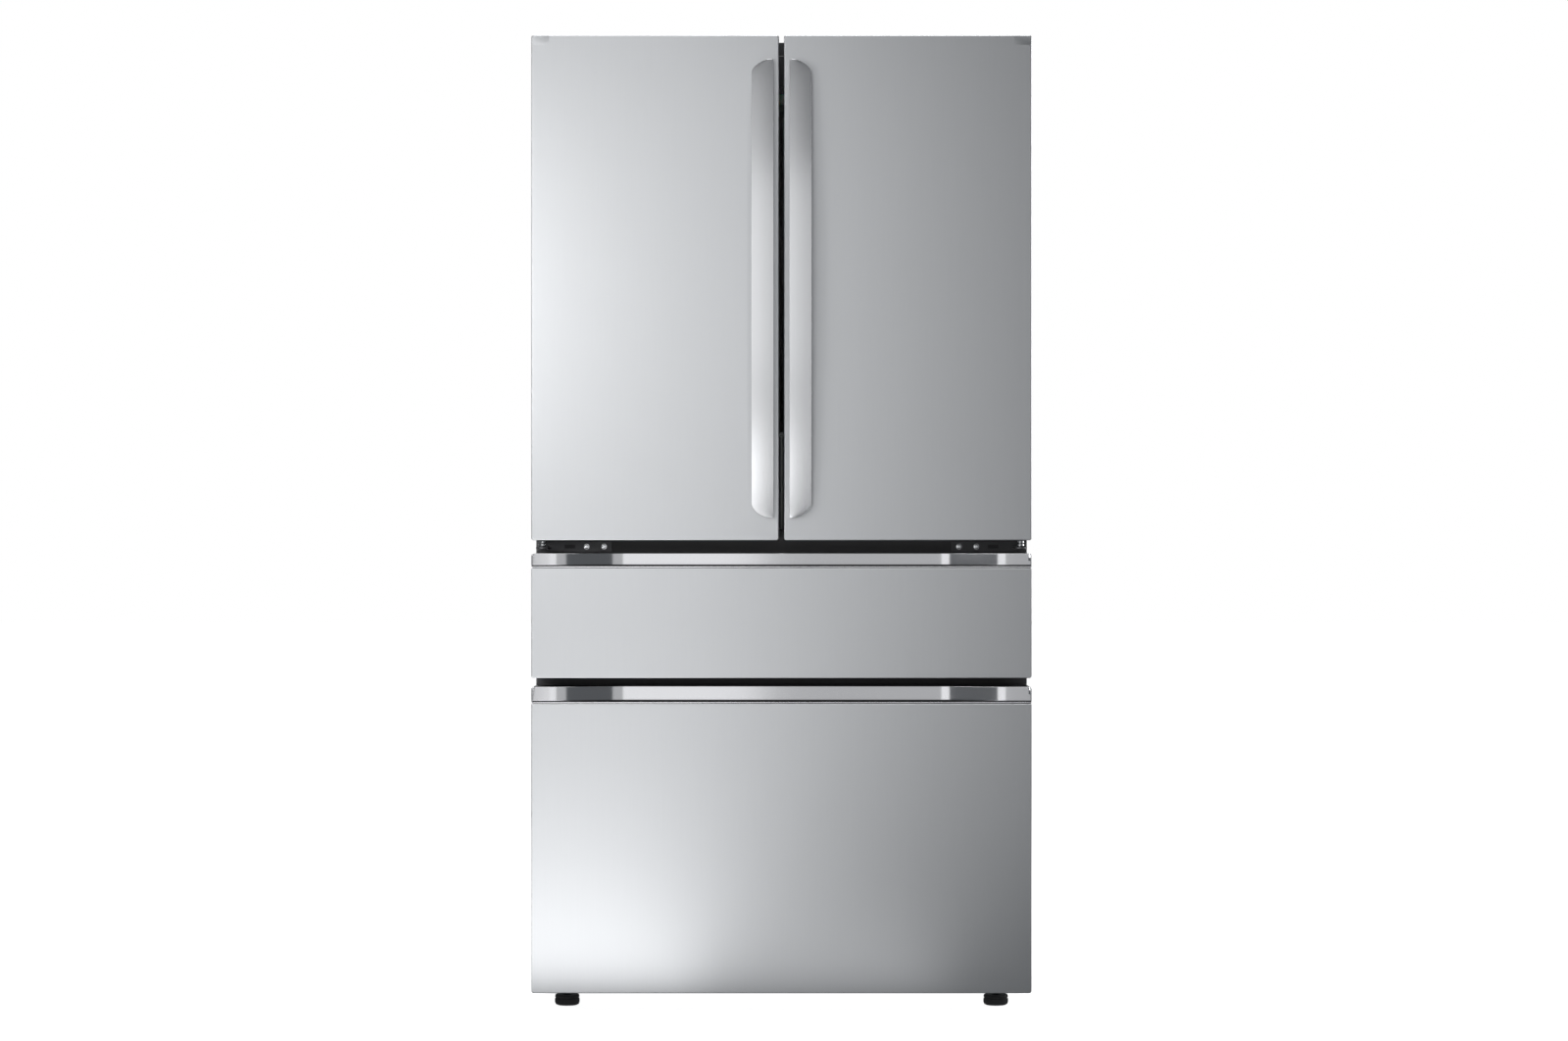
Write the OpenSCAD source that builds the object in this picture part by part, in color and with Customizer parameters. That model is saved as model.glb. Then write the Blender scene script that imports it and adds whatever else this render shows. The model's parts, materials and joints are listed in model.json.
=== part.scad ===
// French door refrigerator: two doors over two pull-out drawers.
// X is to the right, the doors face -Y and Z is up. The origin is on the floor, under the middle.

/* [Overall] */
// Width over the two closed doors
width = 908; // [780:1:1090]
// Height of the door tops above the floor
door_top = 1776; // [1500:1:2130]
// Depth of the cabinet box behind the doors
cabinet_depth = 748; // [640:1:900]

/* [Fronts] */
// Thickness of the doors and of the drawer fronts
front_t = 90; // [80:1:110]
// Air between the closed fronts and the cabinet, which the seals fill
seal_gap = 12; // [10:1:16]
// Gap between the two doors
door_gap = 9; // [6:0.5:14]
// Air between the floor and the freezer drawer front
floor_gap = 37; // [34:1:60]
// Height of the freezer drawer front
freezer_front_h = 556; // [500:1:670]
// Gap between the two drawer fronts
drawer_gap = 16; // [12:1:24]
// Height of the middle drawer front
middle_front_h = 226; // [200:1:272]
// Gap between the middle drawer front and the doors, which holds the middle hinges
hinge_gap = 24; // [22:1:34]
// Thickness of the front sheet metal
skin = 1; // [0.6:0.1:1.5]
// Radius of the fronts' corners
corner_r = 4.5; // [2:0.5:10]
// Depth of the sheet metal's short turned-back top and bottom
return_depth = 14; // [8:1:16]
// Width of the plastic band behind the sheet metal on a front's sides
rear_band = 14; // [8:1:24]

/* [Cabinet] */
// How far the cabinet side stands inside the door edge
cabinet_inset = 3; // [0:0.5:8]
// How far the cabinet top lies under the door tops
cabinet_drop = 27; // [22:1:40]
// Height of the cabinet's underside
base_h = 45; // [42:1:60]
// Thickness of the outer sheet metal
sheet = 1.2; // [0.8:0.1:2]
// Depth of the steel face frame
frame_t = 6; // [3:0.5:10]
// Thickness of the insulated side walls
side_wall = 50; // [40:1:70]
// Thickness of the insulated roof
roof_wall = 55; // [45:1:80]
// Thickness of the insulated back
back_wall = 60; // [50:1:90]
// Thickness of the insulated floor
floor_wall = 50; // [40:1:80]
// Height of the insulated rails between the compartments
rail_h = 56; // [52:1:64]
// Thickness of the plastic liners
liner_t = 2.5; // [2:0.5:4]
// How far the machine cover stands behind the cabinet
cover_proud = 8; // [5:1:20]

/* [Machine space] */
// Depth of the machine space at the back
machine_depth = 262; // [240:1:300]
// Height of the machine space's roof above the floor
machine_top = 290; // [270:1:330]
// Radius of the compressor
compressor_r = 82; // [70:1:90]
// Radius of the condenser fan
condenser_fan_r = 72; // [60:1:80]

/* [Handles] */
// Length of a door handle
handle_len = 830; // [600:1:860]
// Width of a door handle
handle_w = 39.5; // [28:0.5:50]
// Thickness of the handle bar
handle_t = 11; // [8:0.5:16]
// How far the handle reaches out from the door
handle_reach = 62; // [54:1:80]
// How far the bar bows out between its ends
handle_bow = 38; // [20:1:42]
// From the door's free edge to the handle
handle_in = 10; // [6:0.5:30]
// From the door's top down to the handle
handle_drop = 46; // [20:1:90]
// Radius of the cut outer corners
handle_end_r = 42; // [36:1:60]

/* [Pocket grips] */
// Height of the metallic strip over the middle drawer
middle_strip_h = 20.6; // [14:0.2:30]
// Height of the metallic strip over the freezer drawer
freezer_strip_h = 25; // [14:0.2:32]
// Depth of the grip at the middle
grip_depth = 33; // [26:1:44]
// Flat length at each end of a strip
grip_end = 33; // [28:1:90]
// Length over which the strip curves back
grip_blend = 140; // [80:1:160]
// Depth of the finger pocket below the drawer front's top
pocket_drop = 34; // [24:1:50]
// Depth of the lip that the fingers pull
lip_depth = 8; // [6:0.5:12]
// Height of the shadow groove under the strip
groove_h = 2.7; // [1:0.1:5]
// Thickness of the lip
lip_t = 1.7; // [1:0.1:4]
// Height of the fine groove between lip and sheet metal
under_h = 1.3; // [0.5:0.1:3]

/* [Hinges] */
// From the door's outer edge to the hinge pin
hinge_in = 18; // [16:1:24]
// From the door's back to the hinge pin
hinge_fwd = 45; // [38:1:52]
// Radius of the hinge pins
pin_r = 4; // [3:0.5:5]
// Clearance round a turning pin
pin_clear = 0.1; // [0.05:0.01:0.1]
// Depth of the pin's hole in the door
pin_depth = 25; // [15:1:30]
// Thickness of the hinge arms
arm_t = 4; // [3:0.5:6]
// Half the width of a hinge arm
arm_half = 12; // [10:0.5:12]

/* [Seals] */
// Width of a seal
seal_w = 12; // [10:1:14]
// Air left between a closed seal and its face
seal_clear = 0.3; // [0.2:0.1:1]
// Distance of a seal from the fronts' outer edges
seal_in = 24; // [22:1:28]

/* [Mullion] */
// Thickness of the folding mullion
mullion_t = 22; // [18:1:26]
// Width of the folding mullion
mullion_w = 58; // [50:1:62]

/* [Interior] */
// Distance between a door's free edge and its liner's raised rim
rim_in = 50; // [46:1:60]
// How far the raised rim reaches into the cabinet
rim_depth = 56; // [40:1:70]
// Width of the raised rim
rim_w = 20; // [12:1:26]
// Depth of a door bin
bin_depth = 108; // [90:1:120]
// Height of a door bin
bin_h = 96; // [70:1:110]
// Wall of bins and drawers
bin_wall = 3; // [2:0.5:4]
// Air between the door bins and the shelves
shelf_air = 16; // [12:1:30]
// Thickness of a glass shelf
glass_t = 4; // [3:0.5:6]
// Depth from the duct covers to the back of the liners
duct_depth = 60; // [55:1:80]
// Height of the crisper drawers
crisper_h = 165; // [120:1:170]

/* [Slides] */
// Thickness of one slide member
slide_t = 6; // [5:0.5:8]
// Clearance between slide members
slide_clear = 0.5; // [0.3:0.1:1]
// Length of the middle drawer's slides
middle_slide = 470; // [350:1:480]
// Length of the freezer drawer's slides
freezer_slide = 400; // [320:1:420]
// Height of the middle drawer's tub
middle_tub_h = 148; // [100:1:155]
// Height of the freezer drawer's tub
freezer_tub_h = 300; // [220:1:310]
// Height of the freezer's upper tray
tray_h = 85; // [60:1:110]

/* [Feet] */
// Radius of a front foot
foot_r = 23; // [16:1:26]
// Height of a front foot's pad
foot_h = 20; // [16:1:22]
// Radius of a foot's screw
stud_r = 5; // [4:0.5:6]
// Distance from the cabinet front back to the feet
foot_back = 46; // [40:1:80]
// Radius of a rear roller
roller_r = 18; // [14:1:20]
// Width of a rear roller
roller_w = 24; // [16:1:30]

/* [Hidden] */

$fn = 48;
e = 0.5; // how far a cutting shape runs past what it cuts

steel = "#b9bbbd";
bright = "#d9dadb";
white = "#eceded";
smoke = "#54575b";
black = "#1c1d1f";
zinc = "#8e9194";
copper = "#a8673c";

// Planes from front to back
depth = handle_reach + front_t + seal_gap + cabinet_depth + cover_proud;
y_face = handle_reach - depth / 2;
y_inner = y_face + front_t;
y_frame = y_inner + seal_gap;
y_liner = y_frame + frame_t;
y_back = y_frame + cabinet_depth;
y_wrap = y_inner - rear_band;

// Levels from the floor up
z_freezer = floor_gap;
z_freezer_top = z_freezer + freezer_front_h;
z_middle = z_freezer_top + drawer_gap;
z_middle_top = z_middle + middle_front_h;
z_door = z_middle_top + hinge_gap;
z_roof = door_top - cabinet_drop;
z_low_rail = (z_freezer_top + z_middle) / 2;
z_high_rail = (z_middle_top + z_door) / 2;

// Half widths
x_door = width / 2;
x_gap = door_gap / 2;
x_cab = x_door - cabinet_inset;
x_hole = x_cab - side_wall;
x_in = x_hole - liner_t;

// The three compartments, as the outer sides of their liners
y_hole = y_back - back_wall;
y_in = y_hole - liner_t;
fridge_z = [z_high_rail + rail_h / 2, z_roof - roof_wall];
middle_z = [z_low_rail + rail_h / 2, z_high_rail - rail_h / 2];
freezer_z = [base_h + floor_wall, z_low_rail - rail_h / 2];
y_machine = y_back - machine_depth;
y_step = y_machine - floor_wall - 10;
z_step = machine_top + floor_wall;

// Hinge pin
x_pin = x_door - hinge_in;
y_pin = y_inner - hinge_fwd;
bore_r = pin_r + pin_clear;
z_arm_low = (z_middle_top + z_door) / 2 - arm_t;
z_arm_high = door_top - 7 - arm_t;
z_notch = z_arm_high - 7;
notch_clear = 2;

// Seals: how far each front's seal lies from the middle and its lower and upper edges
x_seal = x_door - seal_in;
seal_h = seal_gap - seal_clear;
seal_edge = 2;
door_seal_z = [z_door + seal_edge, z_roof - 21];
middle_seal_z = [z_middle + seal_edge, z_middle_top - seal_edge];
freezer_seal_z = [freezer_z[0] - seal_w - 17, z_freezer_top - seal_edge];
door_seal_in = x_gap + 10;

// Folding mullion, in its folded place: it hangs on the left door
mullion_clear = 0.5;
x_fold = -mullion_w / 2 + 6.75;
y_fold = y_frame + mullion_clear + 8.25;
fold_front = 6.75;
fold_side = 8.25;
fold_pin_r = 3;
mullion_z = [fridge_z[0] + 13, fridge_z[1] - 10];
lug_t = 5;

// Inside the doors
plate_t = 3;
rim_x = [x_gap + rim_in, x_in - 6.5];
rim_z = [fridge_z[0] + 10, fridge_z[1] - 10];
bin_levels = [rim_z[0] + rim_w + 4, rim_z[0] + 280, rim_z[0] + 540];

// Inside the fridge compartment
y_duct = y_in - duct_depth;
duct_t = 3;
y_shelf = y_inner + bin_depth + shelf_air;
crisper_z = fridge_z[0] + liner_t + 5;
cover_z = crisper_z + crisper_h + 8;
shelf_z = [[cover_z + 220, cover_z + 420], [cover_z + 170, cover_z + 390]];
post_w = 16;
post_t = 6;
bracket_t = 5;
bracket_h = 26;

// Slides, from the compartment's wall inwards
x_mid = x_in - slide_t - slide_clear;
x_run = x_mid - slide_t - slide_clear;
x_tub = x_run - slide_t - 4;
slide_h = [34, 28, 22];
z_middle_slide = middle_z[0] + 40;
z_freezer_slide = freezer_z[0] + 170;
shelf_lip = 22;
y_slide = y_frame + 8;
tub_floor = 3;
y_tub = y_inner + 6;
middle_tub_z = z_middle_slide - slide_h[2] / 2 + tub_floor;
freezer_tub_z = z_freezer_slide - slide_h[2] / 2 + tub_floor - freezer_tub_h / 2;
tray_z = freezer_tub_z + freezer_tub_h + 0.5;
tray_depth = 340;

// Feet and rollers
x_foot = x_cab - 55;
y_foot = y_frame + foot_back;
y_roller = y_back - 50;
x_roller = x_foot - 16;
axle_r = 4;
fork_t = 4;

// ---- Shared shapes ----

// A box between two limits on each axis
module box(x, y, z) {
    translate([x[0], y[0], z[0]])
        cube([x[1] - x[0], y[1] - y[0], z[1] - z[0]]);
}

// A copy of the children on each side of the middle
module both_sides() {
    children();
    mirror([1, 0, 0])
        children();
}

// Extrusions between two levels, and between two depths for a shape drawn as seen from the front
module raise(z) {
    translate([0, 0, z[0]])
        linear_extrude(z[1] - z[0])
            children();
}

module deepen(y) {
    translate([0, y[1], 0])
        rotate([90, 0, 0])
            linear_extrude(y[1] - y[0])
                children();
}

// The front view of a door or drawer: a rectangle with round corners, low ones and high ones
module front_view(x, z, low_r, high_r) {
    translate([x[0], z[0] + low_r])
        square([x[1] - x[0], z[1] - z[0] - low_r - high_r]);
    translate([x[0] + low_r, z[0]])
        square([x[1] - x[0] - 2 * low_r, low_r]);
    translate([x[0] + high_r, z[1] - high_r])
        square([x[1] - x[0] - 2 * high_r, high_r]);
    for (cx = [x[0] + low_r, x[1] - low_r])
        translate([cx, z[0] + low_r])
            circle(low_r);
    for (cx = [x[0] + high_r, x[1] - high_r])
        translate([cx, z[1] - high_r])
            circle(high_r);
}

function inset(range, by) = [range[0] + by, range[1] - by];

// The sheet metal of a front: a face with deep sides turned back, and a shorter top and bottom
module sheet_pan(x, z, high_r, high_return) {
    difference() {
        deepen([y_face, y_wrap])
            front_view(x, z, corner_r, high_r);
        deepen([y_face + skin, y_wrap + e])
            front_view(inset(x, skin), inset(z, skin), corner_r - skin, max(high_r - skin, 0.2));
        box(inset(x, corner_r), [y_face + return_depth, y_wrap + e], [z[0] - e, z[0] + skin + e]);
        box(inset(x, corner_r), [y_face + high_return, y_wrap + e], [z[1] - skin - e, z[1] + e]);
    }
}

// What fills the sheet metal, with a plastic band round its back
module front_core(x, z, high_r) {
    deepen([y_face + skin, y_wrap])
        front_view(inset(x, skin), inset(z, skin), corner_r - skin, max(high_r - skin, 0.2));
    deepen([y_wrap, y_inner - plate_t])
        front_view(x, z, corner_r, high_r);
}

// A seal: a square ring on a front's back
module seal_ring(x, z) {
    difference() {
        box(x, [y_inner, y_inner + seal_h], z);
        box(inset(x, seal_w), [y_inner - e, y_frame + e], inset(z, seal_w));
    }
}

// An open-topped tub
module tub(x, y, z, wall, floor_t) {
    difference() {
        box(x, y, z);
        box([x[0] + wall, x[1] - wall], [y[0] + wall, y[1] - wall], [z[0] + floor_t, z[1] + e]);
    }
}

// A liner: a box that is open to the front
module liner(z) {
    difference() {
        box([-x_hole, x_hole], [y_liner, y_hole], z);
        box([-x_in, x_in], [y_liner - e, y_in], [z[0] + liner_t, z[1] - liner_t]);
    }
}

// A solid whose side view is given by points in Y and Z
module side_extrude(x, points) {
    translate([x[0], 0, 0])
        rotate([90, 0, 90])
            linear_extrude(x[1] - x[0])
                polygon(points);
}

// ---- Cabinet ----

module cabinet_shell() {
    color(steel)
        difference() {
            box([-x_cab, x_cab], [y_frame, y_back], [base_h, z_roof]);
            box([sheet - x_cab, x_cab - sheet], [y_frame - e, y_back + e], [base_h - e, z_roof - sheet]);
        }
}

module back_panel() {
    color(zinc)
        box([sheet - x_cab, x_cab - sheet], [y_back - sheet, y_back], [machine_top, z_roof - sheet]);
}

module front_frame() {
    color(steel)
        difference() {
            box([sheet - x_cab, x_cab - sheet], [y_frame, y_liner], [base_h, z_roof - sheet]);
            for (z = [fridge_z, middle_z, freezer_z])
                box([-x_in, x_in], [y_frame - e, y_liner + e], [z[0] + liner_t, z[1] - liner_t]);
        }
}

// The outline of the freezer compartment, stepped over the machine space
function step_outline(grow, front) = [
    [front, freezer_z[0] + grow],
    [y_step - grow, freezer_z[0] + grow],
    [y_step - grow, z_step + grow],
    [y_hole - grow, z_step + grow],
    [y_hole - grow, freezer_z[1] - grow],
    [front, freezer_z[1] - grow]
];

module insulation_foam() {
    color(white)
        difference() {
            box([sheet - x_cab, x_cab - sheet], [y_liner, y_back - sheet], [base_h, z_roof - sheet]);
            for (z = [fridge_z, middle_z])
                box([-x_hole, x_hole], [y_liner - e, y_hole], z);
            side_extrude([-x_hole, x_hole], step_outline(0, y_liner - e));
            box([-x_cab, x_cab], [y_machine, y_back + e], [base_h - e, machine_top]);
        }
}

module fridge_liner() {
    color(white)
        liner(fridge_z);
}

module middle_liner() {
    color(white)
        liner(middle_z);
}

module freezer_liner() {
    color(white)
        difference() {
            side_extrude([-x_hole, x_hole], step_outline(0, y_liner));
            side_extrude([-x_in, x_in], step_outline(liner_t, y_liner - e));
        }
}

// A cover along the roof's front edge, raised over the two upper hinges
cover_t = 2.5;
cover_back = 96;
cover_h = 24;
hump_h = cabinet_drop + 8;
hump_w = 64;

module cover_block(grow, low) {
    box([grow - x_cab, x_cab - grow], [y_frame + grow, y_frame + cover_back - grow],
        [low, z_roof + cover_h - grow]);
    both_sides()
        box([x_cab - hump_w + grow, x_cab - grow], [y_frame + grow, y_frame + cover_back - grow],
            [low, z_roof + hump_h - grow]);
}

module top_cover() {
    color(smoke)
        difference() {
            cover_block(0, z_roof);
            cover_block(cover_t, z_roof - e);
            both_sides()
                box([x_pin - arm_half - 1, x_cab + e], [y_frame - e, y_frame + cover_t + e],
                    [z_arm_high - 1, z_arm_high + arm_t + 1]);
        }
}

// ---- Hinges ----

// A hinge arm from the cabinet out to the pin, with a round end
module hinge_arm(z, back) {
    raise([z, z + arm_t]) {
        translate([x_pin - arm_half, y_pin])
            square([2 * arm_half, back - y_pin]);
        translate([x_pin, y_pin])
            circle(arm_half);
    }
}

module upper_hinges() {
    color(zinc)
        both_sides() {
            hinge_arm(z_arm_high, y_frame + 70);
            box([x_pin - arm_half, x_pin + arm_half], [y_frame + 8, y_frame + 70], [z_roof, z_arm_high]);
            box([x_pin - 42, x_pin - arm_half], [y_frame + 8, y_frame + 70], [z_roof, z_roof + arm_t]);
            translate([x_pin, y_pin, z_notch - pin_depth + 2])
                cylinder(h = z_arm_high - z_notch + pin_depth - 2, r = pin_r);
        }
}

// Places of the screws and of the slot in a middle hinge's plate
hinge_plate_w = 136;
hinge_plate_h = 18;
hinge_plate_t = 3;
hinge_screw_x = [x_pin - 110, x_pin - 78];
hinge_slot_x = [x_pin - 57, x_pin - 37];
hinge_screw_r = 3;
z_hinge_plate = (z_middle_top + z_door) / 2;

module middle_hinges() {
    color(smoke)
        both_sides()
            difference() {
                union() {
                    box([x_pin + arm_half - hinge_plate_w, x_pin + arm_half], [y_frame - hinge_plate_t, y_frame],
                        [z_hinge_plate - hinge_plate_h / 2, z_hinge_plate + hinge_plate_h / 2]);
                    hinge_arm(z_arm_low, y_frame - hinge_plate_t);
                    translate([x_pin, y_pin, z_arm_low + arm_t])
                        cylinder(h = z_door - z_arm_low - arm_t - 0.5, r = pin_r + 2);
                    translate([x_pin, y_pin, z_arm_low + arm_t])
                        cylinder(h = z_door - z_arm_low - arm_t + pin_depth - 2, r = pin_r);
                }
                for (x = hinge_screw_x)
                    translate([x, y_frame - hinge_plate_t - e, z_hinge_plate])
                        rotate([-90, 0, 0])
                            cylinder(h = hinge_plate_t + 2 * e, r = hinge_screw_r + 0.2);
                box(hinge_slot_x, [y_frame - hinge_plate_t - e, y_frame + e],
                    [z_hinge_plate - 3.5, z_hinge_plate + 3.5]);
            }
}

module hinge_screws() {
    color(bright)
        both_sides()
            for (x = hinge_screw_x)
                translate([x, y_frame, z_hinge_plate])
                    rotate([90, 0, 0]) {
                        cylinder(h = hinge_plate_t, r = hinge_screw_r);
                        translate([0, 0, hinge_plate_t])
                            cylinder(h = 2.4, r = 5);
                    }
}

// ---- Base and machine space ----

bar_w = 40;
bar_h = 15;
tray_t = 4;

module base_frame() {
    color(zinc)
        difference() {
            union() {
                difference() {
                    box([-x_cab, x_cab], [y_frame + 4, y_back], [base_h - bar_h, base_h]);
                    box([bar_w - x_cab, x_cab - bar_w], [y_frame + 4 + bar_w, y_machine - bar_w],
                        [base_h - bar_h - e, base_h + e]);
                    box([bar_w - x_cab, x_cab - bar_w], [y_machine, y_back - bar_w / 4],
                        [base_h - bar_h - e, base_h - tray_t]);
                }
                both_sides()
                    box([x_foot - 22, x_cab], [y_foot - 26, y_foot + 26], [base_h - bar_h, base_h]);
                both_sides()
                    roller_fork();
            }
            both_sides()
                translate([x_foot, y_foot, base_h - bar_h - e])
                    cylinder(h = bar_h + 2 * e, r = stud_r + pin_clear);
        }
}

// Two cheeks and the axle that a rear roller turns on
module roller_fork() {
    for (side = [-1, 1])
        translate([x_roller + side * (roller_w / 2 + 1 + fork_t / 2), y_roller, 0])
            translate([-fork_t / 2, -12, roller_r - 8])
                cube([fork_t, 24, base_h - tray_t - roller_r + 8 + e]);
    translate([x_roller, y_roller, roller_r])
        rotate([0, 90, 0])
            cylinder(h = roller_w + 2 + fork_t, r = axle_r, center = true);
}

module machine_cover() {
    vent_n = 9;
    vent_pitch = 18;
    color(smoke)
        difference() {
            box([10 - x_cab, x_cab - 10], [y_back, y_back + cover_proud], [base_h - 5, machine_top + 12]);
            box([13 - x_cab, x_cab - 13], [y_back - e, y_back + cover_proud - 2], [base_h, machine_top - 4]);
            for (side = [-1, 1], i = [0:vent_n - 1])
                translate([side * x_cab / 2, y_back, base_h + 60 + i * vent_pitch])
                    translate([-x_cab * 0.3, 0, 0])
                        cube([x_cab * 0.6, cover_proud + e, 6]);
            translate([0, y_back, base_h + 40])
                rotate([-90, 0, 0])
                    cylinder(h = cover_proud + e, r = 9);
        }
}

// The bushing that the power cord would leave by
module cord_gland() {
    color(black)
        translate([0, y_back + cover_proud - 6, base_h + 40])
            rotate([-90, 0, 0])
                difference() {
                    union() {
                        cylinder(h = 6, r = 9);
                        translate([0, 0, -4])
                            cylinder(h = 4, r = 12);
                    }
                    translate([0, 0, -4 - e])
                        cylinder(h = 10 + 2 * e, r = 4.5);
                }
}

x_compressor = -x_cab / 2 - 30;
y_compressor = y_machine + machine_depth / 2;

module compressor() {
    r = compressor_r;
    dome = 28;
    tall = 120;
    color(black) {
        translate([x_compressor, y_compressor, base_h + 18])
            rotate_extrude()
                union() {
                    square([r - dome, tall + dome]);
                    square([r, tall]);
                    intersection() {
                        translate([r - dome, tall])
                            circle(dome);
                        translate([0, tall])
                            square([r, dome]);
                    }
                }
        for (dx = [-1, 1], dy = [-1, 1])
            translate([x_compressor + dx * r * 0.6, y_compressor + dy * r * 0.6, base_h])
                cylinder(h = 18, r = 10);
        translate([x_compressor + r - 8, y_compressor - 26, base_h + 60])
            cube([34, 52, 66]);
    }
}

// A finned block with the ring that its fan turns in
x_fan = 0;
x_coil = x_fan + 60;
coil_l = 210;
coil_n = 22;

module condenser() {
    z_fan = base_h + 100;
    color(zinc) {
        for (i = [0:coil_n - 1])
            translate([x_coil + 20 + i * coil_l / coil_n, y_compressor - 85, base_h + 14])
                cube([1.2, 170, 170]);
        for (row = [0:2], column = [0:3])
            translate([x_coil + 10, y_compressor - 60 + row * 60, base_h + 36 + column * 42])
                rotate([0, 90, 0])
                    cylinder(h = coil_l + 20, r = 5);
        for (dy = [-1, 1])
            translate([x_coil + 10, y_compressor + dy * 85 - 2, base_h])
                cube([coil_l + 20, 4, 186]);
    }
    color(smoke)
        difference() {
            translate([x_fan - 14, y_compressor - 90, base_h])
                cube([28, 180, 195]);
            translate([x_fan - 20, y_compressor, z_fan])
                rotate([0, 90, 0])
                    cylinder(h = 40, r = condenser_fan_r + 4);
        }
    color(smoke) {
        translate([x_fan + 14, y_compressor - 90, z_fan - 8])
            cube([4, 180, 16]);
        translate([x_fan - 8, y_compressor, z_fan])
            rotate([0, 90, 0])
                cylinder(h = 24, r = fan_pin_r);
    }
}

// A fan along Z: a hub with a hole for its pin, and flat blades set at an angle
fan_pin_r = 3;

module fan(r, thick, blades) {
    hub_r = r * 0.28;
    color(black)
        difference() {
            union() {
                cylinder(h = thick, r = hub_r);
                intersection() {
                    for (i = [0:blades - 1])
                        rotate([0, 0, i * 360 / blades])
                            translate([hub_r - 2, 0, thick / 2])
                                rotate([32, 0, 0])
                                    translate([0, -r * 0.28, -1])
                                        cube([r, r * 0.56, 2]);
                    cylinder(h = thick, r = r);
                }
            }
            translate([0, 0, -e])
                cylinder(h = thick + 2 * e, r = fan_pin_r + pin_clear);
        }
}

module condenser_fan() {
    translate([x_fan - 9, y_compressor, base_h + 100])
        rotate([0, 90, 0])
            fan(condenser_fan_r, 18, 6);
}

// ---- Cold air ----

fridge_fan_r = 50;
freezer_fan_r = 38;
z_fridge_fan = fridge_z[1] - 110;
z_freezer_fan = freezer_z[1] - 60;

module fan_pin(z) {
    translate([0, y_duct + duct_t, z])
        rotate([-90, 0, 0])
            cylinder(h = 26, r = fan_pin_r);
}

// Plain panels at the backs of the two cooled compartments, with slots for the air
module duct_cover(x, z, slot_z) {
    difference() {
        box([-x, x], [y_duct, y_duct + duct_t], z);
        for (level = slot_z, side = [-1, 1], i = [0:2])
            translate([side * x * 0.55 - 60, y_duct - e, level + i * 14])
                cube([120, duct_t + 2 * e, 6]);
    }
}

module duct_covers() {
    color(white) {
        duct_cover(x_in, [fridge_z[0] + liner_t, fridge_z[1] - liner_t],
                   [cover_z + 30, cover_z + 290, z_fridge_fan + 30]);
        fan_pin(z_fridge_fan);
        duct_cover(x_in, [z_step + liner_t, freezer_z[1] - liner_t], [z_freezer_fan - 30]);
        fan_pin(z_freezer_fan);
    }
}

module finned_coil(z, fins) {
    half = 260;
    for (i = [0:fins - 1])
        translate([-half + i * 2 * half / (fins - 1), y_duct + 14, z])
            cube([1, 36, 110]);
    for (row = [0:3])
        translate([-half - 10, y_duct + 32, z + 14 + row * 27])
            rotate([0, 90, 0])
                cylinder(h = 2 * half + 20, r = 4);
}

module evaporators() {
    color(zinc) {
        finned_coil(fridge_z[0] + 90, 30);
        finned_coil(z_step + 15, 30);
    }
}

module fridge_fan() {
    translate([0, y_duct + duct_t + 8, z_fridge_fan])
        rotate([-90, 0, 0])
            fan(fridge_fan_r, 16, 5);
}

module freezer_fan() {
    translate([0, y_duct + duct_t + 8, z_freezer_fan])
        rotate([-90, 0, 0])
            fan(freezer_fan_r, 16, 5);
}

// ---- Inside the fridge compartment ----

function shelf_x(side) = [side > 0 ? 5 : 5 - x_in, side > 0 ? x_in - 5 : -5];

module glass_shelves() {
    color("#c9dcd8")
        for (side = [0, 1], z = shelf_z[side])
            box(shelf_x(side), [y_shelf + 8, y_duct - 14], [z, z + glass_t]);
}

// Ladder posts on the duct cover, and under each pane two brackets with a front and a back trim
module shelf_frames() {
    top = fridge_z[1] - 80;
    color(white) {
        for (x = [-x_in + 20, -post_w - 4, 4, x_in - 20 - post_w])
            box([x, x + post_w], [y_duct - post_t, y_duct], [cover_z + 40, top]);
        for (side = [0, 1], z = shelf_z[side]) {
            x = shelf_x(side);
            for (bx = side > 0 ? [4 + 5, x_in - 25 - bracket_t] : [-x_in + 25, -4 - 5 - bracket_t])
                side_extrude([bx, bx + bracket_t], [
                    [y_shelf + 8, z], [y_duct - post_t, z], [y_duct - post_t, z - bracket_h],
                    [y_duct - 60, z - bracket_h], [y_shelf + 8, z - 8]
                ]);
            box(x, [y_shelf, y_shelf + 8], [z - 8, z + glass_t + 3]);
            box(x, [y_duct - 14, y_duct - post_t], [z, z + glass_t + 12]);
        }
    }
}

module crisper_cover() {
    color("#c9dcd8")
        box([-x_in, x_in], [y_shelf, y_duct], [cover_z, cover_z + glass_t]);
    color(white) {
        box([-x_in, x_in], [y_shelf - 8, y_shelf], [cover_z - 6, cover_z + glass_t]);
        box([-3, 3], [y_shelf - 8, y_duct], [fridge_z[0] + liner_t, cover_z - 6]);
        box([-3, 3], [y_shelf, y_duct], [cover_z - 6, cover_z]);
    }
}

module crisper_drawers() {
    color("#dfe6e6")
        both_sides()
            difference() {
                union() {
                    tub([8, x_in - 5], [y_shelf + 2, y_duct - 12], [crisper_z, crisper_z + crisper_h],
                        bin_wall, bin_wall);
                    box([5.5, x_in - 3], [y_shelf - 6, y_shelf + 2], [crisper_z, crisper_z + crisper_h]);
                }
                box([x_in / 2 - 70, x_in / 2 + 70], [y_shelf - 6 - e, y_shelf + 2 + e + bin_wall],
                    [crisper_z + crisper_h - 34, crisper_z + crisper_h - 14]);
            }
}

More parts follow.
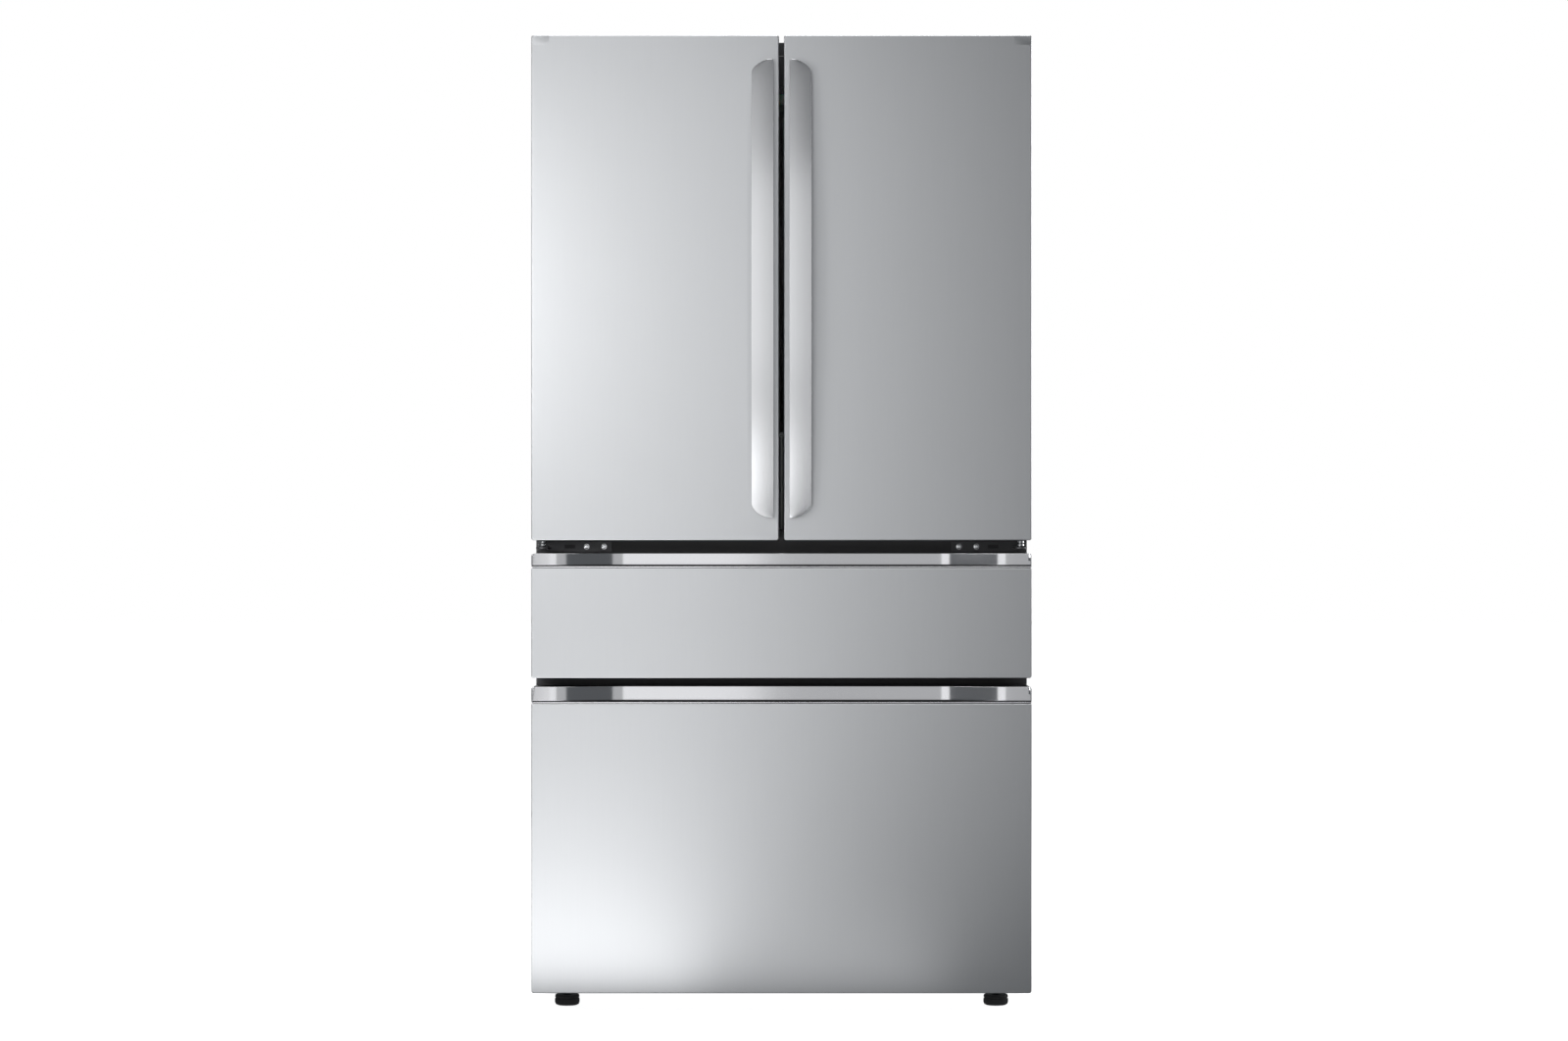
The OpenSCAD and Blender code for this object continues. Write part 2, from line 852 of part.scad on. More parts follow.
module light_panel() {
    color("#f4f6f7")
        box([-170, 170], [y_shelf + 20, y_shelf + 170], [fridge_z[1] - liner_t - 20, fridge_z[1] - liner_t]);
}

// ---- Drawer slides ----

// One pair of slide members
module slide_pair(x, z, h, y, length) {
    both_sides()
        box([x - slide_t, x], [y, y + length], [z - h / 2, z + h / 2]);
}

module fixed_rails() {
    color(zinc) {
        slide_pair(x_in, z_middle_slide, slide_h[0], y_slide, middle_slide);
        slide_pair(x_in, z_freezer_slide, slide_h[0], y_slide, freezer_slide);
    }
}

module middle_rail_slides() {
    color(zinc)
        slide_pair(x_mid, z_middle_slide, slide_h[1], y_slide, middle_slide);
}

module freezer_rail_slides() {
    color(zinc)
        slide_pair(x_mid, z_freezer_slide, slide_h[1], y_slide, freezer_slide);
}

// The inner members with the ledge that a tub stands on and the foot that holds the front
module drawer_rails(z, length) {
    color(zinc)
        both_sides() {
            box([x_run - slide_t, x_run], [y_inner, y_slide + length], [z - slide_h[2] / 2, z + slide_h[2] / 2]);
            box([x_run - slide_t - shelf_lip, x_run - slide_t], [y_inner, y_slide + length],
                [z - slide_h[2] / 2, z - slide_h[2] / 2 + tub_floor]);
            box([x_run - slide_t - shelf_lip, x_run], [y_inner, y_inner + 4], [z - 30, z + 30]);
        }
}

// ---- Drawer fronts ----

// How far the strip lies behind the face at a place across the front: nothing at its flat
// ends, then a smooth bend back to its full depth
function recess(x) =
    let (run = (x_door - grip_end - abs(x)) / grip_blend)
    run <= 0 ? 0 : run >= 1 ? grip_depth : grip_depth * (1 - cos(180 * run)) / 2;

grip_steps = 16;
x_grip = x_door - grip_end;
x_pocket = x_grip - 0.4 * grip_blend;

// Places across the front, from the left edge to the right, with steps where the strip curves
function strip_places(limit) = let (
    curve = [for (i = [0:grip_steps]) x_grip - grip_blend * i / grip_steps],
    right = [for (x = curve) if (x < limit) x]
) concat([-limit], [for (i = [len(right) - 1:-1:0]) -right[i]], right, [limit]);

function ordered(places) = let (
    n = (len(places) - 2) / 2,
    half = [for (i = [n + 1:2 * n]) places[i]]
) concat([-places[2 * n + 1]], [for (x = half) -x], [for (i = [n - 1:-1:0]) half[i]], [places[2 * n + 1]]);

back_line = grip_depth + 2.5;

// The plan of a strip whose front is at least a given depth behind the face
module strip_plan(set_back) {
    polygon(concat(
        [for (x = ordered(strip_places(x_door))) [x, y_face + max(set_back, recess(x))]],
        [[x_door, y_face + back_line], [-x_door, y_face + back_line]]
    ));
}

// The plan of the finger pocket, between the lip and the curved back
module pocket_plan() {
    places = ordered(strip_places(x_pocket));
    polygon(concat(
        [for (x = places) [x, y_face + recess(x)]],
        [[x_pocket, y_face + lip_depth], [-x_pocket, y_face + lip_depth]]
    ));
}

function panel_top(top, strip_h) = top - strip_h - groove_h - lip_t - under_h;

// A grip: the strip, its shadow groove, the lip and the finger pocket behind the lip
module grip_trim(top, strip_h) {
    z0 = panel_top(top, strip_h);
    z1 = z0 + under_h;
    z2 = z1 + lip_t;
    z3 = z2 + groove_h;
    color(bright) {
        intersection() {
            raise([z3, top])
                strip_plan(0);
            deepen([y_face - e, y_face + back_line + e])
                front_view([-x_door, x_door], [z3, top], 0.2, corner_r);
        }
        difference() {
            union() {
                raise([z2, z3])
                    strip_plan(groove_h);
                box([-x_door, x_door], [y_face, y_face + back_line], [z1, z2]);
                box(inset([-x_door, x_door], under_h), [y_face + under_h, y_face + back_line], [z0, z1]);
                box([-x_pocket - 2, x_pocket + 2], [y_face + lip_depth - 2, y_face + back_line],
                    [z0 - pocket_drop - 2, z0]);
            }
            raise([z0 - pocket_drop, z3 + e / 2])
                pocket_plan();
        }
    }
}

module drawer_panel(z, strip_h) {
    color(steel)
        sheet_pan([-x_door, x_door], [z[0], panel_top(z[1], strip_h)], skin + 0.5, lip_depth - 2);
}

module drawer_core(z, strip_h) {
    top = panel_top(z[1], strip_h);
    color(smoke) {
        difference() {
            front_core([-x_door, x_door], [z[0], top], skin + 0.5);
            box([-x_pocket - 2, x_pocket + 2], [y_face + lip_depth - 2, y_face + back_line],
                [top - pocket_drop - 2, top + e]);
        }
        deepen([y_face + back_line, y_inner - plate_t])
            front_view([-x_door, x_door], [top, z[1]], 0.2, corner_r);
        box(inset([-x_door, x_door], corner_r), [y_face + back_line, y_wrap], [top - skin - e, top + e]);
    }
    color(white)
        box(inset([-x_door, x_door], 8), [y_inner - plate_t, y_inner], inset(z, 8));
}

module middle_drawer_panel() {
    drawer_panel([z_middle, z_middle_top], middle_strip_h);
}

module middle_drawer_trim() {
    grip_trim(z_middle_top, middle_strip_h);
}

module middle_drawer_core() {
    drawer_core([z_middle, z_middle_top], middle_strip_h);
}

module middle_drawer_gasket() {
    color(black)
        seal_ring([-x_seal, x_seal], middle_seal_z);
}

module middle_drawer_tub() {
    color("#dfe6e6")
        tub([-x_tub, x_tub], [y_tub, y_slide + middle_slide], [middle_tub_z, middle_tub_z + middle_tub_h],
            bin_wall, bin_wall);
}

module middle_drawer_rails() {
    drawer_rails(z_middle_slide, middle_slide);
}

module freezer_drawer_panel() {
    drawer_panel([z_freezer, z_freezer_top], freezer_strip_h);
}

module freezer_drawer_trim() {
    grip_trim(z_freezer_top, freezer_strip_h);
}

module freezer_drawer_core() {
    drawer_core([z_freezer, z_freezer_top], freezer_strip_h);
}

module freezer_drawer_gasket() {
    color(black)
        seal_ring([-x_seal, x_seal], freezer_seal_z);
}

// A tub that hangs between the slides: its upper half is wide and stands on their ledges
module freezer_drawer_tub() {
    waist = freezer_tub_z + freezer_tub_h / 2;
    narrow = x_tub - shelf_lip;
    y = [y_tub, y_slide + freezer_slide];
    color("#dfe6e6")
        difference() {
            union() {
                box([-narrow, narrow], y, [freezer_tub_z, waist]);
                box([-x_tub, x_tub], y, [waist, freezer_tub_z + freezer_tub_h]);
            }
            box([bin_wall - narrow, narrow - bin_wall], [y[0] + bin_wall, y[1] - bin_wall],
                [freezer_tub_z + bin_wall, waist + e]);
            box([bin_wall - x_tub, x_tub - bin_wall], [y[0] + bin_wall, y[1] - bin_wall],
                [waist + bin_wall, freezer_tub_z + freezer_tub_h + e]);
            box([bin_wall - narrow, narrow - bin_wall], [y[0] + bin_wall, y[1] - bin_wall],
                [waist - e, waist + bin_wall + e]);
        }
}

module freezer_drawer_rails() {
    drawer_rails(z_freezer_slide, freezer_slide);
}

module freezer_tray() {
    color("#dfe6e6")
        tub([-x_tub, x_tub], [y_tub, y_tub + tray_depth], [tray_z, tray_z + tray_h], bin_wall, bin_wall);
}

// ---- Doors, drawn for the right side ----

door_x = [x_gap, x_door];

// The room in a door's top for the upper hinge arm as the door turns round it
module hinge_notch() {
    box([x_pin - arm_half - notch_clear, x_door + e], [y_pin - arm_half * 2.1 - notch_clear, y_inner + e],
        [z_notch, door_top + e]);
}

module door_panel() {
    color(steel)
        difference() {
            sheet_pan(door_x, [z_door, door_top], corner_r, return_depth);
            hinge_notch();
        }
}

module door_core() {
    color(smoke)
        difference() {
            front_core(door_x, [z_door, door_top], corner_r);
            hinge_notch();
            translate([x_pin, y_pin, z_notch - pin_depth])
                cylinder(h = pin_depth + e, r = bore_r);
            translate([x_pin, y_pin, z_door - e])
                cylinder(h = pin_depth + e, r = bore_r);
        }
    color(white)
        box(inset(door_x, 6), [y_inner - plate_t, y_inner], [z_door + 6, z_notch - 6]);
}

// The liner's raised rim, which holds the bins
module door_liner() {
    color(white)
        difference() {
            box(rim_x, [y_inner, y_inner + rim_depth], rim_z);
            box(inset(rim_x, rim_w), [y_inner - e, y_inner + rim_depth + e], inset(rim_z, rim_w));
        }
}

module door_gasket() {
    color(black)
        seal_ring([door_seal_in, x_seal], door_seal_z);
}

module door_bins() {
    x = [rim_x[0] + rim_w + 1, rim_x[1] - rim_w - 1];
    color("#dfe6e6")
        for (z = bin_levels)
            tub(x, [y_inner, y_inner + bin_depth], [z, z + bin_h], bin_wall, bin_wall);
}

// The bow of the handle, as a ring sector that is cut to the bar's length
bow_r = (handle_len * handle_len / 4 / handle_bow + handle_bow) / 2;
z_handle_top = door_top - handle_drop;
z_handle = z_handle_top - handle_len / 2;
post_in = 46;

function bow(z) = y_face - handle_reach + bow_r - sqrt(bow_r * bow_r - (z - z_handle) * (z - z_handle));

// The handle seen from the front: a bar whose outer corners are cut round
module handle_outline() {
    x = [x_gap + handle_in, x_gap + handle_in + handle_w];
    half = handle_len / 2;
    translate([x[0], -half + handle_end_r])
        square([handle_w, handle_len - 2 * handle_end_r]);
    intersection() {
        translate([x[0], -half])
            square([handle_w, handle_len]);
        for (side = [-1, 1])
            translate([x[0] + 3, side * (half - handle_end_r)])
                circle(handle_end_r, $fn = 96);
    }
}

module door_handle() {
    color(bright) {
        intersection() {
            translate([0, y_face, z_handle])
                rotate([90, 0, 0])
                    linear_extrude(handle_reach + 1)
                        handle_outline();
            translate([0, y_face - handle_reach + bow_r, z_handle])
                rotate([0, 90, 0])
                    difference() {
                        cylinder(h = 100, r = bow_r, $fn = 200);
                        translate([0, 0, -e])
                            cylinder(h = 100 + 2 * e, r = bow_r - handle_t, $fn = 200);
                    }
        }
        for (side = [-1, 1]) {
            z = z_handle + side * (handle_len / 2 - post_in);
            translate([x_gap + handle_in + handle_w / 2, y_face, z])
                rotate([90, 0, 0])
                    cylinder(h = y_face - bow(z) - handle_t / 2, r = 11);
        }
    }
}

module right_door_panel() {
    door_panel();
}

module right_door_core() {
    door_core();
}

module right_door_liner() {
    door_liner();
}

module right_door_gasket() {
    door_gasket();
}

module right_door_handle() {
    door_handle();
}

module right_door_bins() {
    door_bins();
}

module left_door_panel() {
    mirror([1, 0, 0])
        door_panel();
}

module left_door_core() {
    mirror([1, 0, 0])
        door_core();
}

module left_door_liner() {
    mirror([1, 0, 0])
        door_liner();
}

module left_door_gasket() {
    mirror([1, 0, 0])
        door_gasket();
}

module left_door_handle() {
    mirror([1, 0, 0])
        door_handle();
}

module left_door_bins() {
    mirror([1, 0, 0])
        door_bins();
}

// ---- Folding mullion ----

// The post that closes the gap between the doors' seals. It is drawn folded, pointing into the
// cabinet. Its corner is round about the fold pin, so that it never passes the seals' plane.
module mullion() {
    x = [x_fold + fold_side - mullion_t, x_fold + fold_side];
    y = [y_fold - fold_front, y_fold - fold_front + mullion_w];
    color(smoke)
        difference() {
            raise(mullion_z) {
                translate([x[0], y_fold])
                    square([mullion_t, y[1] - y_fold]);
                translate([x[0], y[0]])
                    square([x_fold - x[0], fold_front + e]);
                intersection() {
                    translate([x_fold, y_fold])
                        circle(fold_side);
                    translate([x_fold - fold_side, y[0]])
                        square([2 * fold_side, fold_front + fold_side]);
                }
            }
            for (z = [mullion_z[0] - e, mullion_z[1] - 20])
                translate([x_fold, y_fold, z])
                    cylinder(h = 20 + e, r = fold_pin_r + pin_clear);
        }
}

// The two lugs on the left door's liner that carry the mullion's pins
module mullion_brackets() {
    foot = [x_fold - 26, x_fold - 10];
    color(zinc)
        for (up = [0, 1]) {
            z = up > 0 ? mullion_z[1] + mullion_clear : mullion_z[0] - mullion_clear - lug_t;
            box([foot[0], x_fold + fold_side], [y_frame + mullion_clear, y_fold + fold_side], [z, z + lug_t]);
            box([foot[0], foot[1]], [y_inner, y_frame + mullion_clear], [z, z + lug_t]);
            translate([x_fold, y_fold, up > 0 ? z - 18 : z + lug_t])
                cylinder(h = 18, r = fold_pin_r);
        }
}

// ---- Feet ----

// A screw foot with a broad pad whose lower edge is round
module foot() {
    round_r = 6;
    color(black) {
        rotate_extrude() {
            square([foot_r - round_r, foot_h]);
            translate([0, round_r])
                square([foot_r, foot_h - round_r]);
            translate([foot_r - round_r, round_r])
                circle(round_r);
        }
        translate([0, 0, foot_h])
            cylinder(h = base_h - foot_h - 1, r = stud_r);
    }
}

module left_foot() {
    translate([-x_foot, y_foot, 0])
        foot();
}

module right_foot() {
    translate([x_foot, y_foot, 0])
        foot();
}

module roller(x) {
    color(black)
        translate([x, y_roller, roller_r])
            rotate([0, 90, 0])
                difference() {
                    cylinder(h = roller_w, r = roller_r, center = true);
                    cylinder(h = roller_w + 2 * e, r = axle_r + pin_clear, center = true);
                }
}

module rear_left_roller() {
    roller(-x_roller);
}

module rear_right_roller() {
    roller(x_roller);
}

cabinet_shell();
back_panel();
insulation_foam();
fridge_liner();
middle_liner();
freezer_liner();
front_frame();
top_cover();
upper_hinges();
middle_hinges();
hinge_screws();
base_frame();
machine_cover();
cord_gland();
compressor();
condenser();
evaporators();
duct_covers();
glass_shelves();
shelf_frames();
crisper_cover();
crisper_drawers();
light_panel();
fixed_rails();
left_foot();
right_foot();
rear_left_roller();
rear_right_roller();
condenser_fan();
fridge_fan();
freezer_fan();
middle_rail_slides();
freezer_rail_slides();
middle_drawer_panel();
middle_drawer_trim();
middle_drawer_core();
middle_drawer_gasket();
middle_drawer_tub();
middle_drawer_rails();
freezer_drawer_panel();
freezer_drawer_trim();
freezer_drawer_core();
freezer_drawer_gasket();
freezer_drawer_tub();
freezer_drawer_rails();
freezer_tray();
left_door_panel();
left_door_core();
left_door_liner();
left_door_gasket();
left_door_handle();
left_door_bins();
right_door_panel();
right_door_core();
right_door_liner();
right_door_gasket();
right_door_handle();
right_door_bins();
mullion_brackets();
mullion();
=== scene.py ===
# French door refrigerator: the looks of its pieces, in the order in which it is put together.
# Everything is in metres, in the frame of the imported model: X to the right, the doors face -Y.
import json
from math import cos, pi, radians, sin, sqrt

import bmesh
import bpy
from mathutils import Matrix, Vector


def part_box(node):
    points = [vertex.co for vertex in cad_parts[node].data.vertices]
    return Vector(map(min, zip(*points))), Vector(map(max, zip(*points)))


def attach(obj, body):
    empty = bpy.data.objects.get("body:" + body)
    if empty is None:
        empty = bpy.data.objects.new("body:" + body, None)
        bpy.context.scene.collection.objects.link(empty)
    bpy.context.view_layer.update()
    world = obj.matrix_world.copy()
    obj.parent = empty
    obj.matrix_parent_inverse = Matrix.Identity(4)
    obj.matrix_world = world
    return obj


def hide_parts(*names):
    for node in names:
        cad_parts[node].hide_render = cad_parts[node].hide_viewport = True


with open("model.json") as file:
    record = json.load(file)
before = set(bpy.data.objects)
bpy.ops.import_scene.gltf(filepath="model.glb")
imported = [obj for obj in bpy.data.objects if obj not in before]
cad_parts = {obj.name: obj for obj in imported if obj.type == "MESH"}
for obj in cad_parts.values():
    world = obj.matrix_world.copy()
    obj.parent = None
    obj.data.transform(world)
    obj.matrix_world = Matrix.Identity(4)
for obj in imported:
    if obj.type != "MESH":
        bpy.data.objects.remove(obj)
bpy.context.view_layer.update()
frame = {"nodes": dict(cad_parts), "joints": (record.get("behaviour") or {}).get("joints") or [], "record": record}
scene = bpy.context.scene

# ---- Studio ----
# A pale floor, a strong softbox on the left, weak ones in front and low down, and four that light
# the roof, the inside, the right side and the back. The camera stands square in front, half way up.
camera_away = 8.0
camera_height = 0.895
door_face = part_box("left_door_panel")[0].y

camera = bpy.data.objects.new("camera", bpy.data.cameras.new("camera"))
camera.data.lens = 101.2
camera.data.shift_x = 0.0016
camera.location = (0, door_face - camera_away, camera_height)
camera.rotation_euler = (radians(90), 0, 0)
scene.collection.objects.link(camera)
scene.camera = camera
scene.view_settings.view_transform = "Standard"


def softbox(name, place, aim, width, height, power):
    """A rectangular light that faces a point and stays out of the camera's sight."""
    light = bpy.data.objects.new(name, bpy.data.lights.new(name, "AREA"))
    light.data.shape = "RECTANGLE"
    light.data.size = width
    light.data.size_y = height
    light.data.energy = power
    light.location = place
    light.rotation_euler = (Vector(aim) - Vector(place)).to_track_quat("-Z", "Y").to_euler()
    light.visible_camera = False
    scene.collection.objects.link(light)


softbox("left_softbox", (-1.8, -2.9, 1.44), (-1.8, 0, 1.44), 1.91, 0.62, 23.5)
softbox("middle_softbox", (-0.33, -2.88, 1.48), (-0.33, 0, 1.48), 0.57, 2.91, 2.2)
softbox("inner_softbox", (0.03, -2.86, 1.12), (0.03, 0, 1.12), 1.27, 2.18, 3.3)
softbox("wide_softbox", (-2.05, -2.84, 1.92), (-2.05, 0, 1.92), 4.36, 2, 6)
softbox("low_softbox", (-0.88, -2.85, 0.01), (-0.88, -2.85, 1), 1.43, 4.37, 35)
softbox("near_softbox", (-0.3, -1.1, 0.01), (-0.3, -1.1, 1), 1.2, 0.9, 2.4)
softbox("high_softbox", (0, -1.8, 4.8), (0, -0.3, 1.2), 3.6, 2.0, 90)
softbox("side_softbox", (3.2, 0.5, 1.6), (0.4, 0.1, 1), 1.8, 1.8, 40)
softbox("back_softbox", (-1.2, 3.8, 2.4), (0, 0.4, 0.9), 2.4, 2.0, 55)
softbox("top_softbox", (0, 0.6, 4.2), (0, 0.3, 1.7), 2.4, 1.6, 30)


def studio_world():
    """White to the camera, and a dim cool grey as light."""
    world = bpy.data.worlds.new("studio")
    world.use_nodes = True
    scene.world = world
    nodes, links = world.node_tree.nodes, world.node_tree.links
    nodes.clear()
    output = nodes.new("ShaderNodeOutputWorld")
    seen = nodes.new("ShaderNodeBackground")
    seen.inputs["Color"].default_value = (1, 1, 1, 1)
    lit = nodes.new("ShaderNodeBackground")
    lit.inputs["Color"].default_value = (0.9, 0.95, 1, 1)
    lit.inputs["Strength"].default_value = 0.11
    path = nodes.new("ShaderNodeLightPath")
    choose = nodes.new("ShaderNodeMixShader")
    links.new(path.outputs["Is Camera Ray"], choose.inputs["Fac"])
    links.new(lit.outputs[0], choose.inputs[1])
    links.new(seen.outputs[0], choose.inputs[2])
    links.new(choose.outputs[0], output.inputs["Surface"])


studio_world()


def finish(name, colour, roughness, grain, relief=0.0, mottle=0.04, uneven=0.12, metallic=0.0, **shine):
    """A surface whose fine grain varies its colour and its roughness, and gives it relief."""
    material = bpy.data.materials.new(name)
    material.use_nodes = True
    nodes, links = material.node_tree.nodes, material.node_tree.links
    surface = nodes["Principled BSDF"]
    surface.inputs["Metallic"].default_value = metallic
    for socket, value in shine.items():
        surface.inputs[socket.replace("_", " ")].default_value = value
    place = nodes.new("ShaderNodeTexCoord")
    stretch = nodes.new("ShaderNodeMapping")
    stretch.inputs["Scale"].default_value = grain
    texture = nodes.new("ShaderNodeTexNoise")
    texture.inputs["Scale"].default_value = 1.0
    texture.inputs["Detail"].default_value = 3.0
    links.new(place.outputs["Object"], stretch.inputs["Vector"])
    links.new(stretch.outputs["Vector"], texture.inputs["Vector"])
    shade = nodes.new("ShaderNodeMix")
    shade.data_type = "RGBA"
    shade.inputs["A"].default_value = (*[c * (1 - mottle) for c in colour], 1)
    shade.inputs["B"].default_value = (*[min(1, c * (1 + mottle)) for c in colour], 1)
    links.new(texture.outputs["Fac"], shade.inputs["Factor"])
    links.new(shade.outputs["Result"], surface.inputs["Base Color"])
    rough = nodes.new("ShaderNodeMapRange")
    rough.inputs["To Min"].default_value = roughness * (1 - uneven)
    rough.inputs["To Max"].default_value = roughness * (1 + uneven)
    links.new(texture.outputs["Fac"], rough.inputs["Value"])
    links.new(rough.outputs["Result"], surface.inputs["Roughness"])
    if relief:
        bump = nodes.new("ShaderNodeBump")
        bump.inputs["Strength"].default_value = 1.0
        bump.inputs["Distance"].default_value = relief
        links.new(texture.outputs["Fac"], bump.inputs["Height"])
        links.new(bump.outputs["Normal"], surface.inputs["Normal"])
    return material


floor_paint = finish("floor_paint", (0.86, 0.86, 0.86), 0.7, (30, 30, 30), Emission_Color=(1, 1, 1, 1))
floor_paint.node_tree.nodes["Principled BSDF"].inputs["Emission Strength"].default_value = 0.93
floor_mesh = bmesh.new()
bmesh.ops.create_grid(floor_mesh, x_segments=1, y_segments=1, size=30)
floor = bpy.data.objects.new("floor", bpy.data.meshes.new("floor"))
floor_mesh.to_mesh(floor.data)
floor_mesh.free()
floor.data.materials.append(floor_paint)
floor.location.z = -0.0005
floor.visible_glossy = False
scene.collection.objects.link(floor)

# ---- Cabinet wrap, face frame and back ----
# One sheet of prepainted steel is folded over the sides and the roof, with round folds.
# The face frame closes its front edge, and a ribbed galvanised panel is screwed on behind.
bodies = frame["record"]["behaviour"]["bodies"]
body_of = {node: body for body, nodes in bodies.items() for node in nodes}
flat_area = 0.006
rib_count = 6
rib_margin = 0.06

cabinet_paint = finish("cabinet_paint", (0.30, 0.305, 0.31), 0.42, (700, 700, 700), 0.00004, 0.03)
frame_paint = finish("frame_paint", (0.05, 0.05, 0.054), 0.5, (700, 700, 700), 0.00003, 0.05)
zinc_coat = finish("zinc_coat", (0.52, 0.53, 0.54), 0.4, (90, 90, 60), 0.00001, 0.16, 0.3, 0.9)


def block(bm, low, high):
    """A rectangular block between two corners."""
    low, high = Vector(low), Vector(high)
    shape = Matrix.Translation((low + high) / 2) @ Matrix.Diagonal((*(high - low), 1))
    return bmesh.ops.create_cube(bm, size=1, matrix=shape)["verts"]


def ease(bm, edges, radius, segments=3):
    """Rounds edges over."""
    bmesh.ops.bevel(bm, geom=list(edges), offset=radius, affect="EDGES", segments=segments,
                    profile=0.5, material=-1, clamp_overlap=True)


def along(bm, axis, low=None, high=None):
    """The edges that run along an axis, with a middle between two corners where these are given."""
    found = []
    for edge in bm.edges:
        run = edge.verts[1].co - edge.verts[0].co
        middle = (edge.verts[0].co + edge.verts[1].co) / 2
        inside = low is None or all(a - 1e-5 <= m <= b + 1e-5 for a, m, b in zip(low, middle, high))
        if inside and abs(run[axis]) > 0.999 * run.length:
            found.append(edge)
    return found


def convex_edges(bm, least=40):
    """The outer edges that are sharper than an angle in degrees."""
    return [edge for edge in bm.edges if edge.is_manifold and edge.is_convex
            and edge.calc_face_angle() > radians(least)]


def add_piece(bm, name, material, node, stands_for=True, crease=35):
    """Makes a bmesh a piece that moves with a CAD node and may stand for it."""
    bmesh.ops.remove_doubles(bm, verts=bm.verts, dist=1e-6)
    bmesh.ops.recalc_face_normals(bm, faces=bm.faces)
    for face in bm.faces:
        face.smooth = face.calc_area() < flat_area
    for edge in bm.edges:
        edge.smooth = edge.is_manifold and edge.calc_face_angle() < radians(crease)
    piece = bpy.data.objects.new(name, bpy.data.meshes.new(name))
    bm.to_mesh(piece.data)
    bm.free()
    piece.data.materials.append(material)
    flats = piece.modifiers.new("Flats", "WEIGHTED_NORMAL")
    flats.keep_sharp = True
    scene.collection.objects.link(piece)
    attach(piece, body_of[node])
    if stands_for:
        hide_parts(node)
    return piece


def clean_copy(node):
    """A CAD solid's mesh, with its loose triangles merged into whole faces."""
    bm = bmesh.new()
    bm.from_mesh(frame["nodes"][node].data)
    bmesh.ops.remove_doubles(bm, verts=bm.verts, dist=1e-6)
    bmesh.ops.dissolve_limit(bm, angle_limit=radians(1), verts=bm.verts, edges=bm.edges)
    return bm


def eased(name, node, material, radius, segments=2):
    """A CAD solid with its outer edges eased, as a moulding or a folded sheet has."""
    bm = clean_copy(node)
    ease(bm, convex_edges(bm), radius, segments)
    return add_piece(bm, name, material, node)


def give_wall(piece, thickness):
    """Sheet metal or a moulded wall: the surface gets its thickness inwards."""
    wall = piece.modifiers.new("Wall", "SOLIDIFY")
    wall.thickness = thickness
    wall.offset = -1
    wall.use_even_offset = True
    piece.modifiers.move(len(piece.modifiers) - 1, 0)


def facing(bm, axis, way, place=None):
    """The faces that look along an axis, at a place on it where this is given."""
    return [face for face in bm.faces if face.normal[axis] * way > 0.99
            and (place is None or abs(face.calc_center_median()[axis] - place) < 1e-4)]


def cabinet_wrap():
    """The sides and the roof in one sheet, open at the front, the back and the bottom."""
    low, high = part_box("cabinet_shell")
    bm = bmesh.new()
    block(bm, low, high)
    open_faces = facing(bm, 1, 1) + facing(bm, 1, -1) + facing(bm, 2, -1)
    bmesh.ops.delete(bm, geom=open_faces, context="FACES")
    folds = [edge for edge in along(bm, 1) if edge.is_manifold]
    ease(bm, folds, 0.006, 5)
    give_wall(add_piece(bm, "cabinet_wrap", cabinet_paint, "cabinet_shell"), 0.0012)


def bisect_at(bm, axis, place):
    """Cuts the faces where they cross a place on an axis."""
    point = [place if i == axis else 0 for i in range(3)]
    normal = [1 if i == axis else 0 for i in range(3)]
    whole = bm.verts[:] + bm.edges[:] + bm.faces[:]
    bmesh.ops.bisect_plane(bm, geom=whole, plane_co=point, plane_no=normal)


def turned(bm, profile, centre, axis, steps=40):
    """A turned shape: a profile of (radius, distance) points, spun about an axis of the frame."""
    side = Vector((1, 0, 0)) if axis.x == 0 else Vector((0, 0, 1))
    points = [centre + side * radius + axis * distance for radius, distance in profile]
    verts = [bm.verts.new(point) for point in points]
    edges = [bm.edges.new(pair) for pair in zip(verts, verts[1:])]
    bmesh.ops.spin(bm, geom=verts + edges, cent=centre, axis=axis, angle=2 * pi, steps=steps,
                   use_merge=True)
    bmesh.ops.remove_doubles(bm, verts=bm.verts, dist=1e-6)


def back_sheet():
    """A sheet with flat fields pressed out between its ribs."""
    low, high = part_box("back_panel")
    rib_gap = 0.03
    pitch = (high.z - low.z - 2 * rib_margin) / rib_count
    bm = bmesh.new()
    block(bm, low, high)
    for i in range(rib_count + 1):
        level = low.z + rib_margin + i * pitch
        for z in (level - rib_gap / 2, level + rib_gap / 2):
            bisect_at(bm, 2, z)
    fields = [face for face in facing(bm, 1, 1, high.y)
              if face.calc_area() > (high.x - low.x) * (pitch - rib_gap) * 0.99]
    for face in fields:
        bmesh.ops.inset_region(bm, faces=[face], thickness=0.03, use_even_offset=True)
        bmesh.ops.inset_region(bm, faces=[face], thickness=0.006, depth=0.003, use_even_offset=True)
    add_piece(bm, "back_sheet", zinc_coat, "back_panel")


